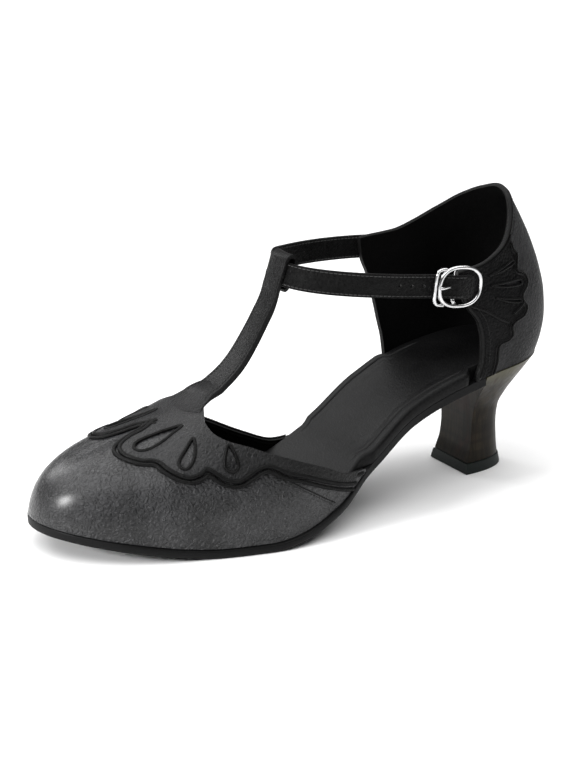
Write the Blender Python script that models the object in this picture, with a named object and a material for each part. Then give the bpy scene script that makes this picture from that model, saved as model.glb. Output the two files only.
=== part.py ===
import bmesh
import bpy
import numpy as np
from math import cos, pi, radians, sin, tau
from mathutils.bvhtree import BVHTree

# Left T-strap shoe. Metres, +Z up, +X toward the toe, +Y toward the outer side, floor at z 0.
# While it is built, x runs from the back of the seat (0) to the toe tip of the upper.

for thing in list(bpy.data.objects):
    bpy.data.objects.remove(thing, do_unlink=True)

# last
shoe_length = 0.240
ball_width = 0.080
heel_rise = 0.050
instep_height = 0.0568
counter_height = 0.0735

# walls and clearances
gap = 0.0003
sole_thick = 0.0036
sole_lip = 0.0014
insole_thick = 0.0055
insole_toe_thick = 0.0037
board_slack = 0.0007
notch = 0.0040
curve_slack = 0.0005
vamp_wall = 0.0018
vamp_bulge = 0.0017
toe_bulge = 0.0013
quarter_wall = 0.0022
lift_thick = 0.0047
lift_flare = 0.0008

# heel
seat_length = 0.0393
heel_power = 2.3

# straps
strap_width = 0.0102
strap_thick = 0.0018
strap_square = 2.4
centre_width = 0.0120
centre_thick = 0.0025
base_thick = 0.0010
fold_thick = 0.0016
fold_under = 0.0010
fold_over = 0.0004
loop_slack = 0.0006
loop_lean = 20.0
base_overlap = 0.0020
base_bow = 0.0036
loop_back = 0.0386
loop_height = 0.0928
buckle_x = 0.0600
buckle_height = 0.0500
inner_end_x = 0.0560
inner_end_height = 0.0533
inner_slope = 0.15
tip_settle = 0.0004

# buckle
ring_x = 0.0592
ring_length = 0.0234
ring_room = 0.0081
ring_height = strap_width + ring_room
ring_square = 2.5
ring_turn = 0.05
wire = 0.0017
bar_wire = 0.0014
bar_drop = 0.0026
bar_along = 0.0010
pin_wire = 0.0012
keeper_wire = 0.0013
keeper_ahead = 0.0022
tab_thick = 0.0008
tab_width = 0.0070
tab_close = 0.0014

# front edges of the quarter at the seat line
outer_front = 0.0450
inner_front = 0.0580

outline = np.array([
    # along, centre, half width (shares of ball width)
    (0.00, 0.000, 0.290),
    (0.10, -0.008, 0.315),
    (0.22, -0.010, 0.338),
    (0.32, 0.015, 0.320),
    (0.42, 0.070, 0.330),
    (0.52, 0.108, 0.406),
    (0.62, 0.083, 0.482),
    (0.70, 0.025, 0.498),
    (0.78, -0.027, 0.478),
    (0.86, -0.068, 0.445),
    (1.00, -0.108, 0.392),
])
heel_cap, heel_round = 0.115, 2.1
toe_cap, toe_round = 0.20, 2.05

bottom = np.array([
    # along, height of the sole's underside (share of heel rise), lip (share of the sole lip)
    (0.00, 0.985, 0.00),
    (0.10, 0.955, 0.00),
    (0.20, 0.875, 0.00),
    (0.32, 0.690, 0.00),
    (0.42, 0.420, 0.00),
    (0.52, 0.162, 1.00),
    (0.60, 0.040, 1.00),
    (0.66, 0.000, 1.00),
    (0.74, 0.000, 1.00),
    (0.80, 0.026, 1.00),
    (0.88, 0.088, 0.90),
    (1.00, 0.190, 0.10),
])
flat_back, flat_front = 0.66, 0.74
sole_edge = np.array([
    # out (share of the lip), up (share of the sole's thickness)
    (0.0, 1.00),
    (1.0, 0.86),
    (1.0, 0.33),
    (-0.3, 0.00),
])
insole_top = np.array([
    # across (share of half width), up (share of the insole's thickness)
    (-1.000, 0.55),
    (-0.975, 0.85),
    (-0.900, 1.00),
    (-0.500, 0.88),
    (0.000, 0.82),
    (0.500, 0.88),
    (0.900, 1.00),
    (0.975, 0.85),
    (1.000, 0.55),
])

ridge = np.array([
    # along, height over the feather line (share of instep height)
    (0.45, 1.020),
    (0.56, 1.000),
    (0.66, 0.984),
    (0.74, 0.843),
    (0.82, 0.695),
    (0.90, 0.458),
])
pole_along, ridge_back, wing_along = 0.814, 0.56, 0.444
throat = 0.60

topline = np.array([
    # round the vamp (0 toe, 1 wing end), share of the way up the rib: outer side, inner side
    (0.600, 0.730, 0.730),
    (0.627, 0.609, 0.600),
    (0.671, 0.512, 0.500),
    (0.732, 0.438, 0.420),
    (0.786, 0.371, 0.340),
    (0.885, 0.220, 0.170),
    (0.940, 0.110, 0.075),
    (1.000, 0.015, 0.015),
])

counter_back = np.array([
    # up, forward shift of the back line (share of counter height)
    (0.00, 0.000),
    (0.12, -0.033),
    (0.25, -0.049),
    (0.40, -0.038),
    (0.55, 0.000),
    (0.70, 0.055),
    (0.85, 0.130),
    (1.00, 0.218),
])
quarter_edge = np.array([
    # up, outer front, inner front, swell sideways (shares of counter height)
    (0.00, 0.000, 0.000, 0.000),
    (0.18, -0.027, 0.011, 0.014),
    (0.36, -0.020, 0.041, 0.024),
    (0.54, 0.014, 0.075, 0.027),
    (0.70, 0.095, 0.116, 0.022),
    (0.86, 0.143, 0.170, 0.014),
    (1.00, 0.156, 0.184, 0.011),
])
rim = np.array([
    # round the collar (-1 inner front, 0 back, 1 outer front), height over the seat
    # (share of counter height)
    (-1.00, 0.690),
    (-0.80, 0.705),
    (-0.65, 0.755),
    (-0.50, 0.826),
    (-0.35, 0.903),
    (-0.18, 0.965),
    (0.00, 1.000),
    (0.10, 0.988),
    (0.20, 0.955),
    (0.35, 0.845),
    (0.50, 0.745),
    (0.65, 0.686),
    (0.80, 0.640),
    (1.00, 0.620),
])

heel_form = np.array([
    # up, breast, back (shares of seat length), half width (share of the seat's)
    (0.00, 0.980, 0.402, 0.477),
    (0.16, 0.931, 0.422, 0.447),
    (0.33, 0.916, 0.430, 0.440),
    (0.50, 0.919, 0.412, 0.477),
    (0.65, 0.931, 0.325, 0.600),
    (0.80, 0.957, 0.185, 0.780),
    (0.90, 0.980, 0.085, 0.910),
    (1.00, 1.000, -0.012, 1.020),
])

centre_path = np.array([
    # run from the vamp to the loop, rise from the vamp to the loop, half width (share of its width)
    (0.000, 0.000, 0.790),
    (0.105, 0.055, 0.670),
    (0.209, 0.117, 0.600),
    (0.428, 0.276, 0.555),
    (0.636, 0.478, 0.525),
    (0.830, 0.705, 0.500),
    (0.963, 0.898, 0.500),
    (1.000, 1.000, 0.500),
])
back_ply = np.array([
    # down from the fold, forward (shares of strap width)
    (0.29, 0.000),
    (0.59, 0.000),
    (0.88, 0.010),
    (1.14, 0.078),
    (1.27, 0.186),
])

bar_form = np.array([
    # up (share of half the ring's height), drop toward the foot (share of bar drop)
    (1.00, 0.0),
    (0.93, 0.3),
    (0.78, 1.0),
    (0.40, 1.0),
])
keeper_form = np.array([
    # up (share of half the ring's height), ahead of the ring (share of keeper ahead)
    (0.93, -1.20),
    (0.92, -0.40),
    (0.86, 0.47),
    (0.70, 0.87),
    (0.35, 1.00),
])
pin_form = np.array([
    # ahead (share of half the ring's length), out (0 at the bar, 1 over the front wire)
    (0.40, 0.43),
    (0.63, 0.70),
    (0.92, 0.98),
    (1.06, 1.00),
])
tab_form = np.array([
    # back of the bar (share of half the ring's length), closing of the outer ply
    (0.22, 0.0),
    (0.51, 0.5),
    (0.73, 1.0),
])
tail_front, tail_back = 0.93, -0.64


def smooth(table_x, table_y, x):
    """Monotone cubic through a table."""
    table_x = np.asarray(table_x, float)
    table_y = np.asarray(table_y, float)
    x = np.clip(np.asarray(x, float), table_x[0], table_x[-1])
    step = np.diff(table_x)
    rate = np.diff(table_y) / step
    slope = np.zeros(len(table_x))
    slope[0], slope[-1] = rate[0], rate[-1]
    for i in range(1, len(table_x) - 1):
        if rate[i - 1] * rate[i] > 0:
            one = 2 * step[i] + step[i - 1]
            two = step[i] + 2 * step[i - 1]
            slope[i] = (one + two) / (one / rate[i - 1] + two / rate[i])
    k = np.clip(np.searchsorted(table_x, x, side="right") - 1, 0, len(table_x) - 2)
    t = (x - table_x[k]) / step[k]
    return (
        (2 * t**3 - 3 * t**2 + 1) * table_y[k]
        + (t**3 - 2 * t**2 + t) * step[k] * slope[k]
        + (3 * t**2 - 2 * t**3) * table_y[k + 1]
        + (t**3 - t**2) * step[k] * slope[k + 1]
    )


def ramp(x, low, high):
    t = np.clip((np.asarray(x, float) - low) / (high - low), 0, 1)
    return t * t * (3 - 2 * t)


def centre_y(x):
    return smooth(outline[:, 0], outline[:, 1], x / shoe_length) * ball_width


def half_width(x):
    s = np.asarray(x, float) / shoe_length
    back = np.clip((heel_cap - s) / heel_cap, 0, 1)
    front = np.clip((s - 1 + toe_cap) / toe_cap, 0, 1)
    ends = (1 - back**heel_round) ** (1 / heel_round) * (1 - front**toe_round) ** (1 / toe_round)
    return smooth(outline[:, 0], outline[:, 2], s) * ball_width * ends


def bottom_z(x):
    return smooth(bottom[:, 0], bottom[:, 1], x / shoe_length) * heel_rise


def feather_z(x):
    return bottom_z(x) + sole_thick + gap


def ridge_z(x):
    return feather_z(x) + smooth(ridge[:, 0], ridge[:, 1], x / shoe_length) * instep_height


def plan_edge(x, side, out):
    """A point of the plan outline, moved outward by out."""
    e = 2e-5
    x = np.clip(np.asarray(x, float), e, shoe_length - e)
    slope = (half_width(x + e) - half_width(x - e)) / (2 * e)
    size = np.sqrt(1 + slope**2)
    return x - slope / size * out, centre_y(x) + side * (half_width(x) + out / size)


def vamp_point(a, h):
    """a: -1 inner wing, 0 toe, 1 outer wing. h: 0 feather line, 1 ridge."""
    a, h = np.broadcast_arrays(np.asarray(a, float), np.asarray(h, float))
    s = np.abs(a)
    side = np.where(a < 0, -1.0, 1.0)
    wing = wing_along * shoe_length
    x0 = shoe_length - (shoe_length - wing) * (1 - np.cos(pi / 2 * s))
    foot = np.stack([x0, centre_y(x0) + side * half_width(x0), feather_z(x0)], -1)
    pole = pole_along * shoe_length
    x3 = pole - (pole - ridge_back * shoe_length) * s**1.5
    top = np.stack([x3, centre_y(x3), ridge_z(x3)], -1)
    e = 1e-4
    slope = (ridge_z(x3 + e) - ridge_z(x3 - e)) / (2 * e)
    way = foot - top
    rise = -way[..., 2]
    bulge = vamp_bulge + toe_bulge * (1 - s) ** 2
    lean = -bulge / np.hypot(way[..., 0], way[..., 1])
    p1 = foot + np.stack([way[..., 0] * lean, way[..., 1] * lean, rise * 0.636], -1)
    p2 = top + 0.63 * np.stack([way[..., 0], way[..., 1], way[..., 0] * slope], -1)
    t = h[..., None]
    return (1 - t) ** 3 * foot + 3 * (1 - t) ** 2 * t * p1 + 3 * (1 - t) * t**2 * p2 + t**3 * top


throat_x = float(vamp_point(throat, 1.0)[0])
loop_x = throat_x - loop_back


def quarter_point(b, h):
    """b: -1 inner front edge, 0 back, 1 outer front edge. h: 0 seat line, 1 collar."""
    b, h = np.broadcast_arrays(np.asarray(b, float), np.asarray(h, float))
    s = np.abs(b)
    outer = b >= 0
    side = np.where(outer, 1.0, -1.0)
    u = 1 - np.cos(pi / 2 * s)
    front = np.where(outer, outer_front, inner_front)
    shift, swell = (
        counter_height * k
        for k in (
            np.where(
                outer,
                smooth(quarter_edge[:, 0], quarter_edge[:, 1], h),
                smooth(quarter_edge[:, 0], quarter_edge[:, 2], h),
            ),
            smooth(quarter_edge[:, 0], quarter_edge[:, 3], h),
        )
    )
    back = smooth(counter_back[:, 0], counter_back[:, 1], h) * counter_height
    base = u * front
    x = back + u * (front + shift - back)
    y = centre_y(base) + side * (half_width(base) + swell * np.minimum(1, s * 3))
    low = feather_z(base)
    high = feather_z(0.0) + smooth(rim[:, 0], rim[:, 1], b) * counter_height
    return np.stack([x, y, low + (high - low) * h], -1)


# how far out the ankle strap runs: over the inner quarter, and under the buckle's front wire
inner_spread = -float(quarter_point(-1, 0.9)[1]) + gap + strap_thick / 2 + curve_slack
bar_y = float(quarter_point(1, 0.9)[1]) + gap + tab_thick + gap + bar_wire / 2 + curve_slack
ring_y = bar_y + bar_drop
outer_spread = ring_y - wire / 2 - gap - strap_thick / 2


def strap_path(v):
    """Centre of the ankle strap: v 0 inner end, 1 in the loop, 2 outer end."""
    v = np.asarray(v, float)
    turn = np.clip(np.abs(v - 1), 0, 1) * pi / 2
    inner = v < 1
    reach = loop_x - buckle_x
    x = buckle_x + reach * np.cos(turn) ** (2 / strap_square)
    y = np.where(inner, -inner_spread, outer_spread) * np.sin(turn) ** (2 / strap_square)
    loop_z = feather_z(loop_x) + loop_height
    low = feather_z(buckle_x) + np.where(inner, inner_end_height, buckle_height)
    share = (x - buckle_x) / reach
    z = low + (loop_z - low) * share ** np.where(inner, 0.75, 1.0)
    z = z + 0.0012 * np.exp(-(((y + 0.015) / 0.006) ** 2))
    return np.stack([x, y, z], -1)


# building tools


def material(name, colour, rough, metal=0.0):
    made = bpy.data.materials.new(name)
    made.use_nodes = True
    shader = made.node_tree.nodes["Principled BSDF"]
    shader.inputs["Base Color"].default_value = (*colour, 1)
    shader.inputs["Roughness"].default_value = rough
    shader.inputs["Metallic"].default_value = metal
    return made


def piece(name, points, faces, look):
    """Mesh object with welded points, outward faces, smooth rounds and crisp corners."""
    mesh = bpy.data.meshes.new(name)
    mesh.from_pydata([tuple(map(float, p)) for p in points], [], faces)
    work = bmesh.new()
    work.from_mesh(mesh)
    bmesh.ops.remove_doubles(work, verts=work.verts, dist=1e-6)
    bmesh.ops.dissolve_degenerate(work, edges=work.edges, dist=1e-6)
    bmesh.ops.recalc_face_normals(work, faces=work.faces)
    if work.calc_volume(signed=True) < 0:
        bmesh.ops.reverse_faces(work, faces=work.faces)
    for face in work.faces:
        face.smooth = True
    for edge in work.edges:
        edge.smooth = len(edge.link_faces) == 2 and edge.calc_face_angle(0) < radians(38)
    work.to_mesh(mesh)
    work.free()
    if look:
        mesh.materials.append(look)
    made = bpy.data.objects.new(name, mesh)
    bpy.context.scene.collection.objects.link(made)
    return made


def join(target, others, operation="UNION"):
    """Boolean with helper objects, which stay out of the render."""
    for other in others:
        other.hide_render = True
        other.display_type = "WIRE"
        modifier = target.modifiers.new(other.name, "BOOLEAN")
        modifier.operation = operation
        modifier.solver = "EXACT"
        modifier.object = other


def unit(v):
    return v / np.linalg.norm(v, axis=-1, keepdims=True)


def vertex_normals(points, faces):
    out = np.zeros_like(points)
    for face in faces:
        corner = points[list(face)]
        area = sum(
            np.cross(corner[i] - corner[0], corner[i + 1] - corner[0])
            for i in range(1, len(face) - 1)
        )
        for i in face:
            out[i] += area
    return unit(out)


def shell(points, faces, wall):
    """Closed shell: the surface, its copy moved inward by wall, and the rims between them."""
    points = np.asarray(points)
    inner = points - vertex_normals(points, faces) * wall
    n = len(points)
    edges = set()
    for face in faces:
        for i, p in enumerate(face):
            edges.add((p, face[(i + 1) % len(face)]))
    closed = [tuple(f) for f in faces] + [tuple(n + i for i in reversed(f)) for f in faces]
    closed += [(q, p, n + p, n + q) for p, q in edges if (q, p) not in edges]
    return np.concatenate([points, inner]), closed


class Weld:
    """Collects grids of points and joins the points that coincide."""

    def __init__(self):
        self.points, self.faces, self.known = [], [], {}

    def index(self, p):
        key = tuple(np.round(np.asarray(p) * 1e6).astype(int))
        if key not in self.known:
            self.known[key] = len(self.points)
            self.points.append(np.asarray(p, float))
        return self.known[key]

    def grid(self, grid, flip=False):
        rows, columns = grid.shape[:2]
        ids = [[self.index(grid[i, j]) for j in range(columns)] for i in range(rows)]
        for i in range(rows - 1):
            for j in range(columns - 1):
                face = [ids[i][j], ids[i + 1][j], ids[i + 1][j + 1], ids[i][j + 1]]
                face = [f for k, f in enumerate(face) if f != face[k - 1]]
                if len(face) > 2:
                    self.faces.append(tuple(reversed(face)) if flip else tuple(face))


def loft(rings, ladder=False):
    """Closed body through rings of equal count, ends capped (ladder: rungs across the ring)."""
    rings = np.asarray(rings)
    count, n = rings.shape[:2]
    faces = []
    for i in range(count - 1):
        for j in range(n):
            k = (j + 1) % n
            faces.append((i * n + j, i * n + k, (i + 1) * n + k, (i + 1) * n + j))
    for base in (0, (count - 1) * n):
        if ladder:
            for j in range(n // 2 - 1):
                faces.append((base + j, base + j + 1, base + n - 2 - j, base + n - 1 - j))
        else:
            faces.append(tuple(base + j for j in range(n)))
    return rings.reshape(-1, 3), faces


def ribbon(path, outward, width, thick):
    """Rings of a flat strap with eased corners; outward is the face normal at each point."""
    way = unit(np.gradient(path, axis=0))
    across = unit(np.cross(way, outward))
    outward = unit(np.cross(across, way))
    w, t, e = width / 2, thick / 2, thick / 5
    section = [(w, t - e), (w - e, t), (e - w, t), (-w, t - e)]
    section += [(-a, -b) for a, b in section]
    return np.stack([path + across * a + outward * b for a, b in section], 1)


def wire_rings(path, radius, closed=False, sides=10):
    path = np.asarray(path, float)
    if closed:
        way = unit(np.roll(path, -1, 0) - np.roll(path, 1, 0))
    else:
        way = unit(np.gradient(path, axis=0))
    flat = np.linalg.svd(path - path.mean(0))[2][2]
    side = unit(np.cross(way, flat))
    other = unit(np.cross(way, side))
    turn = np.arange(sides) * tau / sides
    ring = np.cos(turn)[None, :, None] * side[:, None] + np.sin(turn)[None, :, None] * other[:, None]
    return path[:, None] + radius * ring


def closed_loop(rings):
    count, n = rings.shape[:2]
    faces = []
    for i in range(count):
        for j in range(n):
            k, m = (j + 1) % n, (i + 1) % count
            faces.append((i * n + j, i * n + k, m * n + k, m * n + j))
    return rings.reshape(-1, 3), faces


def stations(low, high, extra, count):
    """x stations: even in the middle, closer at the tips of the outline, plus named ones."""
    turn = np.linspace(0.04, pi - 0.04, count)
    x = shoe_length / 2 * (1 - np.cos(turn))
    x = [v for v in x if low + 0.001 < v < high - 0.0002]
    for v in (low, high, *extra):
        x = [w for w in x if abs(w - v) > 0.0011] + [v]
    return np.array(sorted(x))


grain = material("grey_grained_leather", (0.045, 0.045, 0.048), 0.42)
quarter_grain = material("grey_counter_leather", (0.04, 0.04, 0.043), 0.42)
centre_leather = material("black_leather_centre", (0.018, 0.018, 0.019), 0.42)
strap_leather = material("black_grained_leather", (0.02, 0.02, 0.021), 0.38)
tab_leather = material("black_tab_leather", (0.018, 0.018, 0.019), 0.5)
sock = material("dark_sock_leather", (0.022, 0.022, 0.023), 0.5)
sole_look = material("black_sole", (0.016, 0.016, 0.017), 0.55)
wood = material("stained_stacked_heel", (0.07, 0.055, 0.035), 0.35)
lift_look = material("top_piece_rubber", (0.01, 0.016, 0.013), 0.6)
nickel = material("nickel_frame", (0.72, 0.72, 0.73), 0.18, 1.0)
pin_nickel = material("nickel_pin", (0.72, 0.72, 0.73), 0.18, 1.0)

# outsole
tip = shoe_length - 0.0001
rings = []
for x in stations(seat_length + gap, tip, (flat_back * shoe_length, flat_front * shoe_length), 52):
    lip = sole_lip * float(smooth(bottom[:, 0], bottom[:, 2], x / shoe_length))
    sides = []
    for side in (1, -1):
        for out, up in sole_edge:
            px, py = plan_edge(x, side, out * lip)
            sides.append((px, py, bottom_z(x) + up * sole_thick))
    rings.append(sides[:4] + sides[:3:-1])
piece("outsole", *loft(rings), sole_look)

# insole: inside the quarter and the vamp, out to the edge at both open waists
wing_x = wing_along * shoe_length


def insole_inset(x, side):
    front = (outer_front if side > 0 else inner_front) + 2 * gap
    in_quarter = 1 - ramp(x, front, front + notch)
    in_vamp = ramp(x, wing_x - 2 * gap - notch, wing_x - 2 * gap)
    return (quarter_wall * in_quarter + vamp_wall * in_vamp) + (gap + board_slack) * (in_quarter + in_vamp)


notches = [front + 2 * gap + step for front in (outer_front, inner_front) for step in (0, notch)]
notches += [wing_x - 2 * gap - notch, wing_x - 2 * gap]
rings = []
for x in stations(0.0001, tip, notches, 50):
    thick = insole_thick + (insole_toe_thick - insole_thick) * ramp(x, wing_x, shoe_length * 0.57)
    inner, outer = (
        np.array([*plan_edge(x, side, -insole_inset(x, side)), feather_z(x)]) for side in (-1, 1)
    )
    mid, half = (inner + outer) / 2, (outer - inner) / 2
    rings.append([mid + half * s + np.array([0, 0, thick * up]) for s, up in insole_top] + [outer, inner])
piece("insole", *loft(rings), sock)

# heel and top lift
seat_half = float(half_width(seat_length))
lift_top = lift_thick + gap
heel_height = bottom_z(seat_length * 0.7) + sole_thick - lift_top


def heel_ring(t, grow=0.0, count=15):
    breast, back, half = (float(smooth(heel_form[:, 0], heel_form[:, k], t)) for k in (1, 2, 3))
    x1, x0 = breast * seat_length + grow, back * seat_length - grow
    u = 1 - np.cos(np.linspace(0.05, pi / 2, count))
    x = x0 + u * (x1 - x0)
    low = (1 - (1 - u) ** heel_power) ** (1 / heel_power)
    seat = half_width(u * seat_length) / seat_half
    blend = ramp(t, 0.62, 1.0)
    y = (half * seat_half + grow) * (low * (1 - blend) + seat * blend)
    slope = bottom_z(np.clip(x, 0, None)) - bottom_z(seat_length * 0.7)
    z = lift_top + t * heel_height + slope * ramp(t, 0.5, 1.0)
    mid = centre_y(seat_length)
    outer, inner = np.stack([x, mid + y, z], -1), np.stack([x, mid - y, z], -1)
    return np.concatenate([outer, inner[::-1]])


levels = (0, 0.08, 0.16, 0.25, 0.33, 0.42, 0.5, 0.58, 0.65, 0.73, 0.8, 0.86, 0.91, 0.96, 1.0)
piece("heel", *loft([heel_ring(t) for t in levels], ladder=True), wood)
rings = []
for up, flare in ((0, 1), (0.83, 0.5), (1, 0.25)):
    ring = heel_ring(0.0, lift_flare * flare)
    ring[:, 2] = lift_thick * up
    rings.append(ring)
piece("top_lift", *loft(rings, ladder=True), lift_look)

# vamp
surface = Weld()
low_rows = np.array([0, 0.03, 0.09, 0.17, 0.26, 0.36, 0.46, 0.55, 0.64, 0.73])
rows = np.concatenate([low_rows, [0.8, 0.87, 0.94, 1.0]])
front = np.concatenate([np.linspace(-throat, 0, 20), np.linspace(0, throat, 20)[1:]])
surface.grid(vamp_point(front[:, None], rows[None]))
wings = throat + (1 - throat) * np.array([0, 0.035, 0.08, 0.16, 0.27, 0.38, 0.5, 0.62, 0.74, 0.87, 1.0])
for side, column in ((1, 1), (-1, 2)):
    up = low_rows[None] * (smooth(topline[:, 0], topline[:, column], wings) / 0.73)[:, None]
    surface.grid(vamp_point(side * wings[:, None], up), flip=side < 0)
vamp_surface = np.array(surface.points), surface.faces
piece("vamp", *shell(*vamp_surface, vamp_wall), grain)

# quarter
surface = Weld()
round_collar = np.concatenate([
    np.linspace(-1, -0.4, 10), np.linspace(-0.4, 0.4, 17)[1:-1], np.linspace(0.4, 1, 10),
])
up = np.array([0, 0.06, 0.14, 0.24, 0.34, 0.45, 0.56, 0.67, 0.77, 0.86, 0.94, 1.0])
surface.grid(quarter_point(round_collar[:, None], up[None]), flip=True)
piece("quarter", *shell(np.array(surface.points), surface.faces, quarter_wall), quarter_grain)

# centre strap: flared base on the vamp, then up the instep and folded over the ankle strap
over_vamp = BVHTree.FromPolygons([tuple(v) for v in vamp_surface[0]], vamp_surface[1])


def vamp_top(x, y):
    hit = over_vamp.ray_cast((x, y, 0.3), (0, 0, -1))[0]
    return hit.z if hit else None


def fall_away(y):
    """How far the vamp drops from its ridge to y, read a little ahead of the throat."""
    x = base_x + 0.0090
    return vamp_top(x, centre_y(x) + y) - vamp_top(x, centre_y(x))


def strap_bow(y):
    """How far the ankle strap has curved back from the loop at y."""
    share = 1 - (abs(y) / outer_spread) ** strap_square
    return (loop_x - buckle_x) * (share ** (1 / strap_square) - 1)


base_x = throat_x + base_overlap
loop_z = feather_z(loop_x) + loop_height
radius = strap_thick / 2 + loop_slack + fold_thick
lean = radians(loop_lean)
fold_x = loop_x - 0.0003


def fold_point(ahead, up):
    """A point of the fold, in a frame that leans back with the strap."""
    return fold_x + ahead * cos(lean) - up * sin(lean), loop_z + ahead * sin(lean) + up * cos(lean)


fold_low, fold_high = -strap_width / 2 - fold_under, strap_width / 2 + fold_over
outer_x, end_z = fold_point(radius, fold_low)
lie = 2 * gap + base_thick
start_z = vamp_top(base_x, float(centre_y(base_x))) + lie

# spine rows: x, top z, reach sideways, thickness, how much it follows the vamp
spine = []
for ahead, reach in ((0.0085, 1.06), (0.0045, 0.90)):
    x = base_x + ahead
    spine.append((x, vamp_top(x, float(centre_y(x))) + lie, reach, base_thick, 1.0))
for s in (0, 0.06, 0.12, 0.19, 0.28, 0.38, 0.48, 0.58, 0.68, 0.77, 0.85, 0.92, 0.97, 1.0):
    rise, reach = (float(smooth(centre_path[:, 0], centre_path[:, k], s)) for k in (1, 2))
    thick = base_thick + (centre_thick - base_thick) * ramp(s, -0.04, 0.12)
    thick += (fold_thick - centre_thick) * ramp(s, 0.86, 1.0)
    x = base_x + (outer_x - base_x) * s
    spine.append((x, start_z + (end_z - start_z) * rise, reach, thick, 1 - ramp(s, 0, 0.3)))
fold = [fold_point(radius, up) for up in np.linspace(fold_low, fold_high, 5)[1:-1]]
for turn in np.linspace(0, pi, 9):
    fold.append(fold_point(radius * cos(turn), fold_high + radius * sin(turn)))
for down, ahead in back_ply * strap_width:
    fold.append(fold_point(ahead - radius, fold_high - down))
spine += [(x, z, 0.5, fold_thick, 0.0) for x, z in fold]
spine = np.array(spine)
way = unit(np.gradient(spine[:, :2], axis=0))
rings = []
for k, (x, z, reach, thick, follow) in enumerate(spine):
    normal = np.array([way[k, 1], 0, -way[k, 0]])
    mid = centre_y(x) if k < 2 else centre_y(base_x) * ramp(x, outer_x, base_x)
    outer_row, inner_row = [], []
    for s in (-1.0, -0.7, -0.35, 0.0, 0.35, 0.7, 1.0):
        y = s * reach * centre_width
        bow = -base_bow * s * s if k == 0 else strap_bow(y) * ramp(-x, -base_x, -outer_x)
        top = np.array([x + bow, mid + y, z + fall_away(y) * follow])
        under = top - normal * thick
        if k < 6:
            near = [vamp_top(under[0] + step, under[1]) for step in np.linspace(-0.001, 0.006, 8)]
            floor = max([z for z in near if z is not None] or [0])
            up = floor + 2 * gap - under[2]
            up = up if k < 2 else max(0, up)
            under, top = under + np.array([0, 0, up]), top + np.array([0, 0, up])
        inner_row.append(under)
        outer_row.append(top)
    rings.append(outer_row + inner_row[::-1])
piece("t_strap", *loft(rings, ladder=True), centre_leather)

# buckle's own directions, from the middle of the ring: ahead along the strap, out, up
turns = np.concatenate([np.linspace(0, 1, 24) ** 0.9, 2 - np.linspace(1, 0, 24)[1:] ** 0.9])
path = strap_path(turns)
tilt = (path[-1] - path[-7])[2] / (path[-1] - path[-7])[0]
ring_mid = np.array([ring_x, ring_y, path[-1][2] + (ring_x - path[-1][0]) * tilt])
ahead_way = unit(np.array([1, ring_turn, tilt]))
out_way = unit(np.cross((0, 0, 1), ahead_way))
up_way = np.cross(ahead_way, out_way)
half_length, half_height = (ring_length - wire) / 2, (ring_height - wire) / 2


def at_buckle(ahead, out, up=0.0):
    ahead, out, up = np.broadcast_arrays(*(np.asarray(v, float)[..., None] for v in (ahead, out, up)))
    return ring_mid + ahead * ahead_way + out * out_way + up * up_way


# ankle strap: on the inner quarter, round through the loop, under the front wire, over the bar
under_wire = -(wire / 2 + gap + strap_thick / 2)
over_tab = -bar_drop + bar_wire / 2 + gap + tab_thick + gap + strap_thick / 2
tail = np.linspace(tail_front, tail_back, 12)
rise = over_tab + (under_wire - over_tab) * ramp(tail, 0.04, 0.89) - tip_settle * ramp(-tail, 0.1, 0.64)
inner_way = np.array([1, 0, inner_slope])
inner_tail = [path[0] + inner_way * (x - buckle_x) for x in (inner_end_x, buckle_x - 0.0012)]
round_foot = path[(path[:, 0] > ring_x + half_length + gap) | (path[:, 1] < 0)]
path = np.concatenate([inner_tail, round_foot, at_buckle(tail * half_length, rise)])
way = unit(np.gradient(path, axis=0))
outward = unit(np.stack([way[:, 1], -way[:, 0], np.zeros(len(path))], -1))
outward *= np.sign((outward * (path - np.array([ring_x, 0, 0]))).sum(-1))[:, None]
in_loop = np.exp(-((path[:, 1] / (2 * strap_width)) ** 2)) * ramp(path[:, 0], loop_x - 0.038, loop_x - 0.008)
outward = unit(outward + np.array([0, 0, np.tan(lean)]) * in_loop[:, None])
strap = piece("ankle_strap", *loft(ribbon(path, outward, strap_width, strap_thick)), strap_leather)

# buckle: ring, dropped centre bar and keeper wire as one frame
turn = np.linspace(0, tau, 57)[:-1]
ahead = half_length * np.sign(np.cos(turn)) * np.abs(np.cos(turn)) ** (2 / ring_square)
up = half_height * np.sign(np.sin(turn)) * np.abs(np.sin(turn)) ** (2 / ring_square)
frame = piece("buckle_frame", *closed_loop(wire_rings(at_buckle(ahead, 0, up), wire / 2, True)), nickel)


def both_halves(form):
    """The table's rows from the top down to the middle, then mirrored to the bottom."""
    up = np.concatenate([form[:, 0], [0], -form[::-1, 0]])
    return up * half_height, np.concatenate([form[:, 1], form[-1:, 1], form[::-1, 1]])


up, drop = both_halves(bar_form)
bar_rings = wire_rings(at_buckle(bar_along, -bar_drop * drop, up), bar_wire / 2)
up, ahead = both_halves(keeper_form)
keeper_rings = wire_rings(at_buckle(half_length + keeper_ahead * ahead, 0, up), keeper_wire / 2)
join(frame, (piece("frame_bar", *loft(bar_rings), None), piece("frame_keeper", *loft(keeper_rings), None)))

# pin: hooked round the bar, out through the strap's hole and over the front wire
hook = bar_wire / 2 + gap + pin_wire / 2
turn = np.radians([-150, -120, -90, -60, -30, 0, 25])
pin_rise = bar_drop + wire / 2 + gap + pin_wire / 2
pin_path = at_buckle(
    np.concatenate([bar_along + hook * np.cos(turn), pin_form[:, 0] * half_length]),
    np.concatenate([hook * np.sin(turn), pin_form[:, 1] * pin_rise]) - bar_drop,
)
piece("buckle_pin", *loft(wire_rings(pin_path, pin_wire / 2)), pin_nickel)
hole = piece("pin_hole", *loft(wire_rings(pin_path[6:], pin_wire / 2 + gap)), None)
join(strap, (hole,), "DIFFERENCE")

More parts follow.
